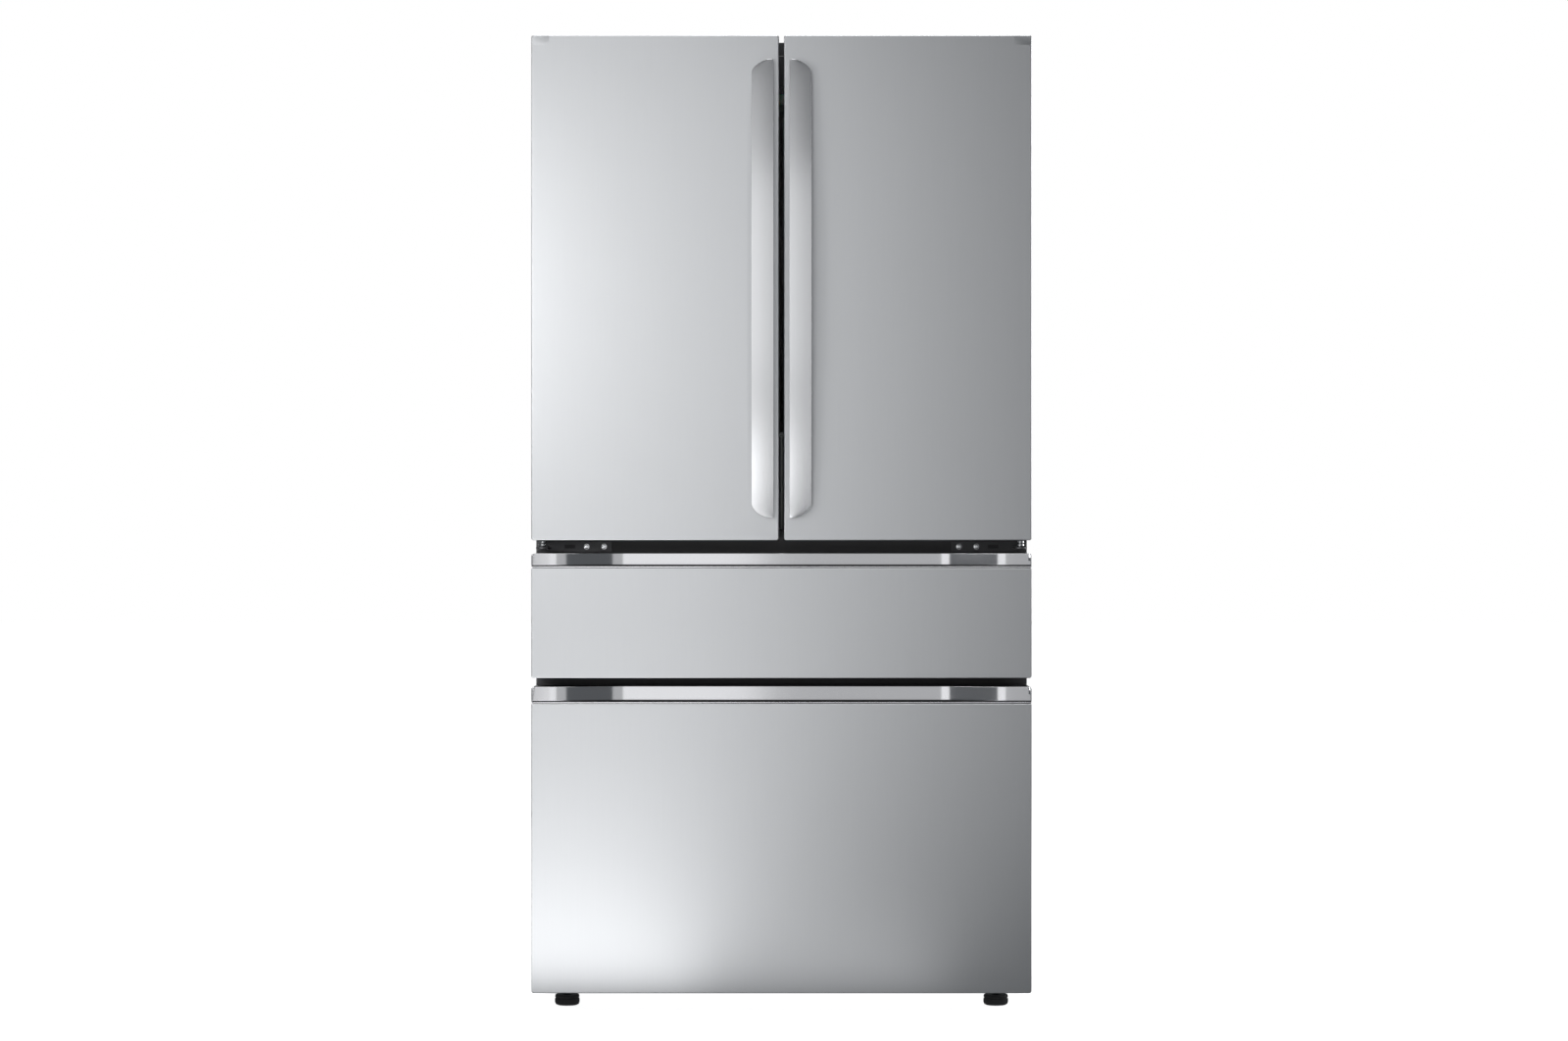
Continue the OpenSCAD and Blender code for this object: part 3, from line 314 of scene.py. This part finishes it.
def back_screws():
    """Domed screws along both sides and the top of the back sheet."""
    low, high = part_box("back_panel")
    edge, backwards = 0.010, Vector((0, 1, 0))
    head = [(0, 0), (0.0045, 0), (0.0045, 0.0008), (0.0034, 0.0022), (0.0014, 0.0024), (0, 0.0014)]
    pitch = (high.z - low.z - 2 * rib_margin) / rib_count
    levels = [low.z + rib_margin + i * pitch for i in range(rib_count + 1)]
    places = [(x, z) for x in (low.x + edge, high.x - edge) for z in levels]
    places += [(x, high.z - edge) for x in (low.x / 2, 0, high.x / 2)]
    bm = bmesh.new()
    for x, z in places:
        turned(bm, head, Vector((x, high.y, z)), backwards, 20)
    add_piece(bm, "back_sheet_screws", zinc_coat, "back_panel", False)


cabinet_wrap()
back_sheet()
back_screws()
eased("face_frame", "front_frame", frame_paint, 0.001)

# ---- Insulation and liners ----
# Rigid foam fills the walls round three liners of glossy white plastic, vacuum formed with
# round inner corners and open to the front.
foam_block = finish("foam_block", (0.72, 0.62, 0.36), 0.85, (160, 160, 160), 0.0006, 0.1)


def recoat(node, material):
    """Gives a CAD node that keeps its shape a better material."""
    frame["nodes"][node].data.materials.clear()
    frame["nodes"][node].data.materials.append(material)


recoat("insulation_foam", foam_block)
liner_white = finish("liner_white", (0.82, 0.83, 0.83), 0.28, (500, 500, 500), 0.00001, 0.015)
liner_wall = 0.0025


def round_liner(name, node):
    """A box with round corners, open to the front."""
    low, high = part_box(node)
    bm = bmesh.new()
    block(bm, low + Vector((liner_wall, 0, liner_wall)), high - Vector((liner_wall,) * 3))
    bmesh.ops.delete(bm, geom=facing(bm, 1, -1), context="FACES")
    ease(bm, [edge for edge in bm.edges if edge.is_manifold], 0.012, 4)
    piece = add_piece(bm, name, liner_white, node)
    give_wall(piece, liner_wall)
    piece.modifiers["Wall"].offset = 1


round_liner("fridge_liner_shell", "fridge_liner")
round_liner("middle_liner_shell", "middle_liner")
eased("freezer_liner_shell", "freezer_liner", liner_white, 0.001)

# ---- Base frame, feet and rollers ----
# A galvanised steel frame carries the cabinet. Two black plastic feet screw into its front
# corners, and two rollers turn on pins at the back.
eased("base_rails", "base_frame", zinc_coat, 0.001)


def bottom_sheet():
    """A zinc-coated sheet that closes the foam from below, between the rails."""
    low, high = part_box("insulation_foam")
    bm = bmesh.new()
    block(bm, (low.x, low.y, low.z - 0.0008), (high.x, high.y, low.z - 0.0001))
    add_piece(bm, "bottom_sheet", zinc_coat, "base_frame", False)


bottom_sheet()
foot_plastic = finish("foot_plastic", (0.012, 0.012, 0.013), 0.5, (400, 400, 400), 0.00006, 0.1)
foot_rubber = finish("foot_rubber", (0.02, 0.02, 0.02), 0.75, (300, 300, 300), 0.00008, 0.15)


def levelling_foot(side):
    """A black pad with a groove to turn it by, under a threaded stud."""
    low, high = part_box(side + "_foot")
    centre = Vector(((low.x + high.x) / 2, (low.y + high.y) / 2, 0))
    pad, height, top = (high.x - low.x) / 2, 0.020, high.z
    stud, thread_deep, half_turn = 0.005, 0.0006, 0.00125
    profile = [(0, 0), (pad - 0.006, 0), (pad - 0.0018, 0.0018), (pad, 0.006), (pad, height - 0.008),
               (pad - 0.0012, height - 0.007), (pad - 0.0012, height - 0.005), (pad, height - 0.004),
               (pad - 0.0015, height), (0.0095, height), (0.009, height + 0.0005)]
    thread = [(stud - thread_deep * (i % 2), height + 0.001 + i * half_turn)
              for i in range(int((top - height - 0.001) / half_turn))]
    bm = bmesh.new()
    turned(bm, profile + thread + [(0.0035, top), (0, top)], centre, Vector((0, 0, 1)), 48)
    add_piece(bm, side + "_levelling_foot", foot_plastic, side + "_foot")


def rear_wheel(side):
    """A rubber wheel with a hub and a dished side, bored for its pin."""
    node = "rear_" + side + "_roller"
    low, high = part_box(node)
    centre = Vector((low.x, (low.y + high.y) / 2, (low.z + high.z) / 2))
    wide, radius, bore = high.x - low.x, (high.z - low.z) / 2, 0.0042
    half = [(bore, 0), (0.0085, 0), (0.009, 0.003), (radius - 0.005, 0.003), (radius - 0.0045, 0.0005),
            (radius - 0.0015, 0.0005), (radius, 0.002)]
    profile = half + [(radius, wide / 2 - 0.001), (radius - 0.0008, wide / 2)]
    profile += [(r, wide - d) for r, d in reversed(half)]
    bm = bmesh.new()
    turned(bm, profile + [(bore, 0)], centre, Vector((1, 0, 0)))
    add_piece(bm, "rear_" + side + "_wheel", foot_rubber, node)


for side in ("left", "right"):
    levelling_foot(side)
    rear_wheel(side)

# ---- Machine space ----
# Behind the freezer stand a black welded compressor on rubber feet and a finned condenser with
# its fan, under a moulded cover with vents and the bushing for the power cord.
enamel = finish("compressor_enamel", (0.012, 0.012, 0.013), 0.3, (260, 260, 260), 0.00005, 0.1,
                Coat_Weight=0.4)
dark_moulding = finish("dark_moulding", (0.035, 0.036, 0.039), 0.5, (900, 900, 900), 0.00005, 0.06)
coil_metal = finish("coil_metal", (0.6, 0.6, 0.62), 0.42, (60, 60, 900), 0.00002, 0.08, 0.2, 0.9)
bushing_rubber = finish("bushing_rubber", (0.02, 0.02, 0.02), 0.65, (600, 600, 600), 0.00004, 0.1)


def compressor_can():
    """A domed can with a weld seam on four grommets, and its starter in a box at the side."""
    low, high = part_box("compressor")
    radius, dome = 0.082, 0.028
    foot, shoulder, top = 0.018, 0.108, high.z - low.z
    centre = Vector((low.x + radius, low.y + radius, low.z))
    angles = [radians(90 - 15 * i) for i in range(7)]
    rise = [(radius - dome + dome * sin(a), top - dome + dome * cos(a)) for a in angles]
    base = [(0, foot), (radius - 0.014, foot), (radius - 0.004, foot + 0.005),
            (radius - 0.001, foot + 0.014)]
    seam = [(radius - 0.001, shoulder - 0.006), (radius, shoulder - 0.005), (radius, shoulder + 0.001),
            (radius - 0.001, shoulder + 0.002)]
    bm = bmesh.new()
    turned(bm, base + seam + rise + [(0, top)], centre, Vector((0, 0, 1)), 64)
    spread = radius * 0.6
    grommet = [(0, 0), (0.01, 0), (0.01, 0.006), (0.007, 0.008), (0.007, 0.01), (0.01, 0.012),
               (0.01, foot + 0.001), (0, foot + 0.001)]
    for x, y in ((-spread, -spread), (-spread, spread), (spread, -spread), (spread, spread)):
        turned(bm, grommet, centre + Vector((x, y, 0)), Vector((0, 0, 1)), 20)
    add_piece(bm, "compressor_can", enamel, "compressor")
    box_half, box_base, box_top = 0.026, 0.06, 0.126
    bm = bmesh.new()
    block(bm, centre + Vector((radius - 0.006, -box_half, box_base)),
          (high.x, centre.y + box_half, low.z + box_top))
    ease(bm, bm.edges, 0.003, 3)
    add_piece(bm, "starter_cover", dark_moulding, "compressor", False)


def fan_wheel(name, node, axis, blades):
    """A hub and swept blades with a twist, round an axis of the frame."""
    low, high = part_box(node)
    middle, size = (low + high) / 2, high - low
    thick = size[axis]
    radius = max(size) / 2 * 0.985
    hub, bore, blade_thick = radius * 0.28, 0.0031, 0.0011
    bm = bmesh.new()
    turned(bm, [(bore, 0), (hub - 0.002, 0), (hub, 0.002), (hub, thick - 0.0015), (hub - 0.0015, thick),
                (bore, thick), (bore, 0)], Vector((0, 0, -thick / 2)), Vector((0, 0, 1)), 32)
    hub_faces = set(bm.faces)
    for i in range(blades):
        sheet = bmesh.ops.create_grid(bm, x_segments=6, y_segments=6, size=0.5)["verts"]
        for vert in sheet:
            out, across = vert.co.x + 0.5, vert.co.y
            reach = hub - 0.001 + out * (radius - hub)
            swing = across * (0.9 - 0.15 * out) + 0.25 * out + i * 2 * pi / blades
            lift = across * (thick - 0.002) * (1 - 0.35 * out)
            vert.co = (reach * cos(swing), reach * sin(swing), lift)
    bmesh.ops.recalc_face_normals(bm, faces=bm.faces)
    blade_faces = [face for face in bm.faces if face not in hub_faces]
    bmesh.ops.solidify(bm, geom=blade_faces, thickness=blade_thick)
    turn = {0: Matrix.Rotation(radians(90), 4, "Y"), 1: Matrix.Rotation(radians(-90), 4, "X")}[axis]
    bmesh.ops.transform(bm, matrix=Matrix.Translation(middle) @ turn, verts=bm.verts)
    add_piece(bm, name, foot_plastic, node)


compressor_can()
recoat("condenser", coil_metal)
fan_wheel("condenser_fan_wheel", "condenser_fan", 0, 6)
eased("louvred_cover", "machine_cover", dark_moulding, 0.0008)
eased("cord_bushing", "cord_gland", bushing_rubber, 0.0006)

# ---- Cold air ----
# Finned coils stand behind white duct covers with slots, and a small fan on each cover moves
# the air over them.
recoat("evaporators", coil_metal)
eased("air_duct_panels", "duct_covers", liner_white, 0.0008)
fan_wheel("fridge_fan_wheel", "fridge_fan", 1, 5)
fan_wheel("freezer_fan_wheel", "freezer_fan", 1, 5)

# ---- Shelves, crispers and lamp ----
# Tempered glass lies in white plastic trims that hang on ladder posts. Clear drawers stand under
# a glass cover, and a frosted lens spreads the light in the roof.
shelf_glass = finish("shelf_glass", (0.86, 0.95, 0.93), 0.03, (40, 40, 40), 0.0, 0.01, 0.1,
                     Transmission_Weight=0.92, IOR=1.5)
clear_plastic = finish("clear_plastic", (0.9, 0.93, 0.94), 0.1, (220, 220, 220), 0.00002, 0.01, 0.2,
                       Transmission_Weight=0.8, IOR=1.46)
frosted_lens = finish("frosted_lens", (0.93, 0.93, 0.9), 0.35, (900, 900, 900), 0.00008, 0.02,
                      Subsurface_Weight=0.3, Subsurface_Scale=0.01)
eased("shelf_panes", "glass_shelves", shelf_glass, 0.001)
eased("shelf_trims", "shelf_frames", liner_white, 0.0015)
eased("crisper_lid", "crisper_cover", shelf_glass, 0.001)
eased("crisper_boxes", "crisper_drawers", clear_plastic, 0.0015)
eased("lamp_lens", "light_panel", frosted_lens, 0.004, 4)

# ---- Roof cover and hinges ----
# A dark moulding along the roof's front covers the two upper hinges. The middle hinges are dark
# plates in the gap over the drawer, each held by two bright socket screws.
zinc_plate = finish("zinc_plate", (0.55, 0.56, 0.57), 0.35, (300, 300, 300), 0.00001, 0.08, 0.2, 0.9)
hinge_paint = finish("hinge_paint", (0.10, 0.10, 0.105), 0.42, (700, 700, 700), 0.00003, 0.08, 0.2, 0.5)
bright_screw = finish("bright_screw", (0.75, 0.76, 0.77), 0.16, (500, 500, 500), 0.000005, 0.04, 0.2, 1.0)
eased("roof_cover", "top_cover", dark_moulding, 0.0025, 3)
eased("upper_hinge_arms", "upper_hinges", zinc_plate, 0.0006)
eased("middle_hinge_plates", "middle_hinges", hinge_paint, 0.0005)


def socket_screws():
    """The hinges' screws, with a domed rim and a socket in each head."""
    head_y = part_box("hinge_screws")[0].y
    bm = clean_copy("hinge_screws")
    heads = facing(bm, 1, -1, head_y)
    for head in heads:
        bmesh.ops.inset_region(bm, faces=[head], thickness=0.0008, use_even_offset=True)
        bmesh.ops.inset_region(bm, faces=[head], thickness=0.0017, depth=0.0003, use_even_offset=True)
        bmesh.ops.inset_region(bm, faces=[head], thickness=0.0001, depth=-0.0021, use_even_offset=True)
    add_piece(bm, "hinge_socket_screws", bright_screw, "hinge_screws")


def pin_washers():
    """Two bright washers on each pin of the middle hinges."""
    radius, bore = 0.0068, 0.0056
    bm = bmesh.new()
    for joint in frame["joints"]:
        if joint["name"] in ("left_door_hinge", "right_door_hinge"):
            for below_door, thick in ((0.0006, 0.0046), (0.0064, 0.0046)):
                turned(bm, [(bore, 0), (radius - 0.0008, 0), (radius, 0.0008), (radius, thick - 0.0008),
                            (radius - 0.0008, thick), (bore, thick), (bore, 0)],
                       Vector(joint["pos_m"]) - Vector((0, 0, below_door + thick)), Vector((0, 0, 1)), 32)
    add_piece(bm, "hinge_pin_washers", bright_screw, "middle_hinges", False)


socket_screws()
pin_washers()

# ---- Slides ----
# Telescopic slides of rolled galvanised steel carry the two drawers: a fixed member, a middle one
# and the drawer's own, each with a rolled channel along its side.


def rolled_slides(name, node):
    """Slide members with a shallow channel rolled into each side that faces the middle."""
    bm = clean_copy(node)
    ease(bm, convex_edges(bm), 0.0008, 2)
    sides = [face for face in facing(bm, 0, 1) + facing(bm, 0, -1)
             if face.calc_center_median().x * face.normal.x < 0 and face.calc_area() > 0.004]
    for face in sides:
        bmesh.ops.inset_region(bm, faces=[face], thickness=0.004, use_even_offset=True)
        bmesh.ops.inset_region(bm, faces=[face], thickness=0.0015, depth=-0.0018, use_even_offset=True)
    add_piece(bm, name, zinc_plate, node)


rolled_slides("fixed_slide_members", "fixed_rails")
rolled_slides("middle_slide_members", "middle_rail_slides")
rolled_slides("freezer_slide_members", "freezer_rail_slides")
rolled_slides("middle_drawer_members", "middle_drawer_rails")
rolled_slides("freezer_drawer_members", "freezer_drawer_rails")

# ---- Door and drawer fronts ----
# Each front is a pan of brushed stainless steel, folded with small round edges and round corners,
# over a dark plastic core that is foamed solid.
brushed_steel = finish("brushed_steel", (0.62, 0.63, 0.645), 0.34, (900, 900, 7), 0.000012, 0.02, 0.1, 1.0)
corner_radius = 0.0045
drawer_top_radius = 0.0015
front_roll = 0.0019
top_return = 0.014
side_signs = {"left": -1, "right": 1}


def steel_pan(name, node, top_radius, high_return, notch=None):
    """A folded pan: deep sides, a short return at the top and the bottom, round corners."""
    low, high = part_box(node)
    bm = bmesh.new()
    block(bm, low, high)
    ease(bm, along(bm, 1, (low.x, low.y, low.z), (high.x, high.y, low.z)), corner_radius, 5)
    ease(bm, along(bm, 1, (low.x, low.y, high.z), (high.x, high.y, high.z)), top_radius, 5)
    bmesh.ops.delete(bm, geom=facing(bm, 1, 1), context="FACES")
    rim = {edge for face in facing(bm, 1, -1, low.y) for edge in face.edges}
    ease(bm, rim, min(front_roll, top_radius * 0.9), 4)
    for z, way, deep in ((low.z, -1, top_return), (high.z, 1, high_return)):
        bisect_at(bm, 1, low.y + deep)
        loose = [face for face in facing(bm, 2, way, z) if face.calc_center_median().y > low.y + deep]
        bmesh.ops.delete(bm, geom=loose, context="FACES")
    if notch:
        for axis in range(3):
            for corner in notch:
                if low[axis] < corner[axis] < high[axis]:
                    bisect_at(bm, axis, corner[axis])
        inside = [face for face in bm.faces if all(
            a - 1e-5 < c < b + 1e-5 for a, c, b in zip(notch[0], face.calc_center_median(), notch[1]))]
        bmesh.ops.delete(bm, geom=inside, context="FACES")
    give_wall(add_piece(bm, name, brushed_steel, node), 0.001)


# The middle drawer over the freezer drawer: pans, cores and the bright grips along their tops.
grip_chrome = finish("grip_chrome", (0.80, 0.80, 0.82), 0.11, (900, 900, 40), 0.000004, 0.01, 0.1, 1.0)
grip_end = 0.033
grip_blend = 0.140
grip_deep = 0.033
strip_edge = 0.0009
groove_high = 0.0027
lip_high = 0.0017
lip_deep = 0.008
lip_cover = 0.0002


def recess(x, half):
    """How far the strip lies behind the face: flat ends, a long bend and a flat middle."""
    run = min(1, max(0, (half - grip_end - abs(x)) / grip_blend))
    return grip_deep * (1 - cos(pi * run)) / 2


def pocket_grip(name, node, strip_high):
    """The bright strip, the finger pocket under it and the bright lip between them; the pocket's dark colour is
    painted shade for the groove.
    """
    low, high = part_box(node)
    strip_low = high.z - strip_high
    bm = bmesh.new()
    shape = (Matrix.Translation((0, low.y, (strip_low + high.z) / 2)) @ Matrix.Rotation(radians(90), 4, "X")
             @ Matrix.Diagonal(((high.x - low.x) / 2, (high.z - strip_low) / 2, 1, 1)))
    sheet = bmesh.ops.create_grid(bm, x_segments=260, y_segments=1, size=1, matrix=shape)["verts"]
    for vert in sheet:
        vert.co.y = low.y + recess(vert.co.x, high.x)
    back = bmesh.ops.extrude_face_region(bm, geom=bm.faces[:])["geom"]
    for vert in back:
        if isinstance(vert, bmesh.types.BMVert):
            vert.co.y = high.y
    bmesh.ops.recalc_face_normals(bm, faces=bm.faces)
    ease(bm, along(bm, 1, (low.x, low.y, high.z), (low.x, high.y, high.z))
         + along(bm, 1, (high.x, low.y, high.z), (high.x, high.y, high.z)), corner_radius, 5)
    fronts = [face for face in bm.faces if face.normal.y < -0.3]
    rim = {edge for face in fronts for edge in face.edges
           if any(other.normal.y > -0.3 for other in edge.link_faces)}
    ease(bm, rim, strip_edge, 3)
    add_piece(bm, name + "_strip", grip_chrome, node)

    bm = bmesh.new()
    bm.from_mesh(frame["nodes"][node].data)
    bmesh.ops.remove_doubles(bm, verts=bm.verts, dist=1e-6)
    geometry = bm.verts[:] + bm.edges[:] + bm.faces[:]
    cut = bmesh.ops.bisect_plane(bm, geom=geometry, plane_co=(0, 0, strip_low - 0.0001), plane_no=(0, 0, 1),
                                 clear_outer=True)["geom_cut"]
    rim = [part for part in cut if isinstance(part, bmesh.types.BMEdge)]
    bmesh.ops.triangle_fill(bm, use_beauty=True, edges=rim)
    bmesh.ops.dissolve_limit(bm, angle_limit=radians(1), verts=bm.verts, edges=bm.edges)
    for vert in bm.verts:
        if vert.co.y < low.y + lip_cover:
            vert.co.y += lip_cover
        if abs(vert.co.x) > high.x - lip_cover:
            vert.co.x -= lip_cover * (1 if vert.co.x > 0 else -1)
    # The pocket gets the dark moulding as painted shade, so the groove under the strip reads as a shadow gap.
    add_piece(bm, name + "_painted_shade_pocket", dark_moulding, node)

    lip_top = strip_low - groove_high
    bm = bmesh.new()
    block(bm, (low.x, low.y, lip_top - lip_high), (high.x, low.y + lip_deep, lip_top))
    ease(bm, along(bm, 0), 0.0004, 3)
    add_piece(bm, name + "_lip", grip_chrome, node, False)


def inner_sheet(name, node, margin, top):
    """The white sheet on the inner side of a front, with its eased edges pressed into the foam."""
    low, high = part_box(node)
    bm = bmesh.new()
    block(bm, (low.x + margin, high.y - 0.003, low.z + margin), (high.x - margin, high.y + 0.0003, top))
    ease(bm, along(bm, 1), 0.004, 4)
    ease(bm, [edge for face in facing(bm, 1, 1) for edge in face.edges], 0.0003, 1)
    add_piece(bm, name, liner_white, node, False)


strip_heights = {"middle": 0.0206, "freezer": 0.025}
for drawer, strip_high in strip_heights.items():
    steel_pan(drawer + "_drawer_pan", drawer + "_drawer_panel", drawer_top_radius, 0.006)
    eased(drawer + "_drawer_body", drawer + "_drawer_core", dark_moulding, 0.0008)
    pocket_grip(drawer + "_grip", drawer + "_drawer_trim", strip_high)
    inner_sheet(drawer + "_inner_sheet", drawer + "_drawer_core", 0.008,
                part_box(drawer + "_drawer_core")[1].z - 0.008)

# ---- Drawer tubs and seals ----
# Clear tubs hang on the slides behind the fronts, with eased rims. Each front is closed by a black
# bellows seal that is pushed into a groove of its inner panel.
seal_rubber = finish("seal_rubber", (0.025, 0.025, 0.026), 0.6, (700, 700, 700), 0.00004, 0.1)


def moulding(bm, low, high, radius, profile):
    """A frame with round corners: a closed profile of (inwards, forwards) points, carried round it."""
    marks = [(turn, radians(90 * turn + 15 * step)) for turn in range(4) for step in range(7)]
    signs = ((1, 1), (-1, 1), (-1, -1), (1, -1))
    middle, half = (low + high) / 2, (high - low) / 2
    known = bm.verts.layers.int.new("mark")

    def place(vert, inwards, forwards):
        turn, angle = marks[vert[known]]
        bend = max(radius - inwards, 0.001)
        across = signs[turn][0] * (half.x - inwards - bend) + bend * cos(angle)
        upwards = signs[turn][1] * (half.z - inwards - bend) + bend * sin(angle)
        vert.co = (middle.x + across, low.y + forwards, middle.z + upwards)

    verts = [bm.verts.new() for _ in marks]
    for number, vert in enumerate(verts):
        vert[known] = number
        place(vert, *profile[0])
    loop = [bm.edges.new(pair) for pair in zip(verts, verts[1:] + verts[:1])]
    for inwards, forwards in profile[1:] + profile[:1]:
        made = bmesh.ops.extrude_edge_only(bm, edges=loop)["geom"]
        for vert in made:
            if isinstance(vert, bmesh.types.BMVert):
                place(vert, inwards, forwards)
        loop = [edge for edge in made if isinstance(edge, bmesh.types.BMEdge) and edge.is_boundary]


def seal(name, node):
    """A rubber frame with a fold like a bellows on both of its sides."""
    low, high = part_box(node)
    deep, wide = high.y - low.y, 0.012
    outer = [(0, 0), (0, 0.003), (0.0018, 0.0038), (0.0018, 0.005), (0.0002, 0.0058),
             (0.0002, deep - 0.0014), (0.001, deep)]
    inner = [(wide - inwards, forwards) for inwards, forwards in reversed(outer)]
    bm = bmesh.new()
    moulding(bm, low, high, 0.008, outer + inner)
    add_piece(bm, name, seal_rubber, node)


for drawer in ("middle", "freezer"):
    eased(drawer + "_tub", drawer + "_drawer_tub", clear_plastic, 0.0015)
    seal(drawer + "_drawer_seal", drawer + "_drawer_gasket")
eased("freezer_upper_tray", "freezer_tray", clear_plastic, 0.0015)

# ---- Doors ----
# Two doors with the same pans and cores, a white inner liner with a raised rim that holds the
# bins, and a bowed bar handle of satin metal on two posts at each free edge.
handle_metal = finish("handle_metal", (0.74, 0.745, 0.76), 0.22, (900, 900, 12), 0.000008, 0.015, 0.1, 1.0)
handle_reach = 0.062
handle_bow = 0.038
handle_thick = 0.011
end_cut = 0.042
post_radius = 0.011
post_in = 0.046


def bar_handle(side):
    """The bar: a grid bent along its bow, crowned a little, cut round at its outer corners."""
    node = side + "_door_handle"
    low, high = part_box(node)
    sign = side_signs[side]
    inner = low.x if sign > 0 else high.x
    wide = high.x - low.x
    half = (high.z - low.z) / 2
    middle = (high.z + low.z) / 2
    bow_radius = (half * half / handle_bow + handle_bow) / 2
    crown = 0.0002

    def bow(z):
        return low.y + bow_radius - sqrt(bow_radius ** 2 - (z - middle) ** 2)

    bm = bmesh.new()
    sheet = bmesh.ops.create_grid(bm, x_segments=8, y_segments=96, size=1)["verts"]
    for vert in sheet:
        across, t = (vert.co.x + 1) / 2, vert.co.y
        z = half * (1 - (1 - abs(t)) ** 1.5) * (1 if t > 0 else -1)
        past = abs(z) - (half - end_cut)
        reach = wide if past <= 0 else min(wide, 0.003 + sqrt(max(0, end_cut ** 2 - past ** 2)))
        y = bow(middle + z) + crown * (2 * across - 1) ** 2
        vert.co = (inner + sign * across * reach, y, middle + z)
    bmesh.ops.recalc_face_normals(bm, faces=bm.faces)
    back = bmesh.ops.extrude_face_region(bm, geom=bm.faces[:])["geom"]
    for vert in back:
        if isinstance(vert, bmesh.types.BMVert):
            vert.co.y = bow(vert.co.z) + handle_thick
    bmesh.ops.recalc_face_normals(bm, faces=bm.faces)
    corners = [edge for edge in bm.edges if edge.is_manifold and edge.calc_face_angle() > radians(50)]
    ease(bm, corners, 0.0016, 3)
    add_piece(bm, side + "_handle_bar", handle_metal, node, crease=12)

    bm = bmesh.new()
    for way in (-1, 1):
        z = middle + way * (half - post_in)
        deep = door_face - bow(z) - handle_thick * 0.6
        profile = [(0, 0), (post_radius, 0), (post_radius, 0.002), (post_radius - 0.0015, 0.0035),
                   (post_radius - 0.0015, deep), (0, deep)]
        turned(bm, profile, Vector(((low.x + high.x) / 2, door_face, z)), Vector((0, -1, 0)), 36)
    add_piece(bm, side + "_handle_posts", handle_metal, node, False)


def hinge_room(side):
    """The room in the door's top outer rear corner for the upper hinge arm."""
    low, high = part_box(side + "_door_core")
    notch_wide, notch_deep, notch_high = 0.032, 0.0722, 0.018
    outer = low.x - 0.01 if side_signs[side] < 0 else high.x + 0.01
    inner = low.x + notch_wide if side_signs[side] < 0 else high.x - notch_wide
    return ((min(inner, outer), high.y - notch_deep, high.z - notch_high),
            (max(inner, outer), high.y + 0.01, high.z + 0.01))


for side in side_signs:
    steel_pan(side + "_door_pan", side + "_door_panel", corner_radius, top_return, hinge_room(side))
    eased(side + "_door_body", side + "_door_core", dark_moulding, 0.0008)
    eased(side + "_door_bin_rim", side + "_door_liner", liner_white, 0.006, 4)
    inner_sheet(side + "_door_inner_sheet", side + "_door_core", 0.006, hinge_room(side)[0][2] - 0.006)
    seal(side + "_door_seal", side + "_door_gasket")
    eased(side + "_door_bin_set", side + "_door_bins", clear_plastic, 0.0015)
    bar_handle(side)

# ---- Folding mullion ----
# A dark post on the left door folds across the gap between the two seals as the doors close. It
# turns on two pins in zinc-plated brackets.
eased("mullion_post", "mullion", dark_moulding, 0.0015, 3)
eased("mullion_lugs", "mullion_brackets", zinc_plate, 0.0005)
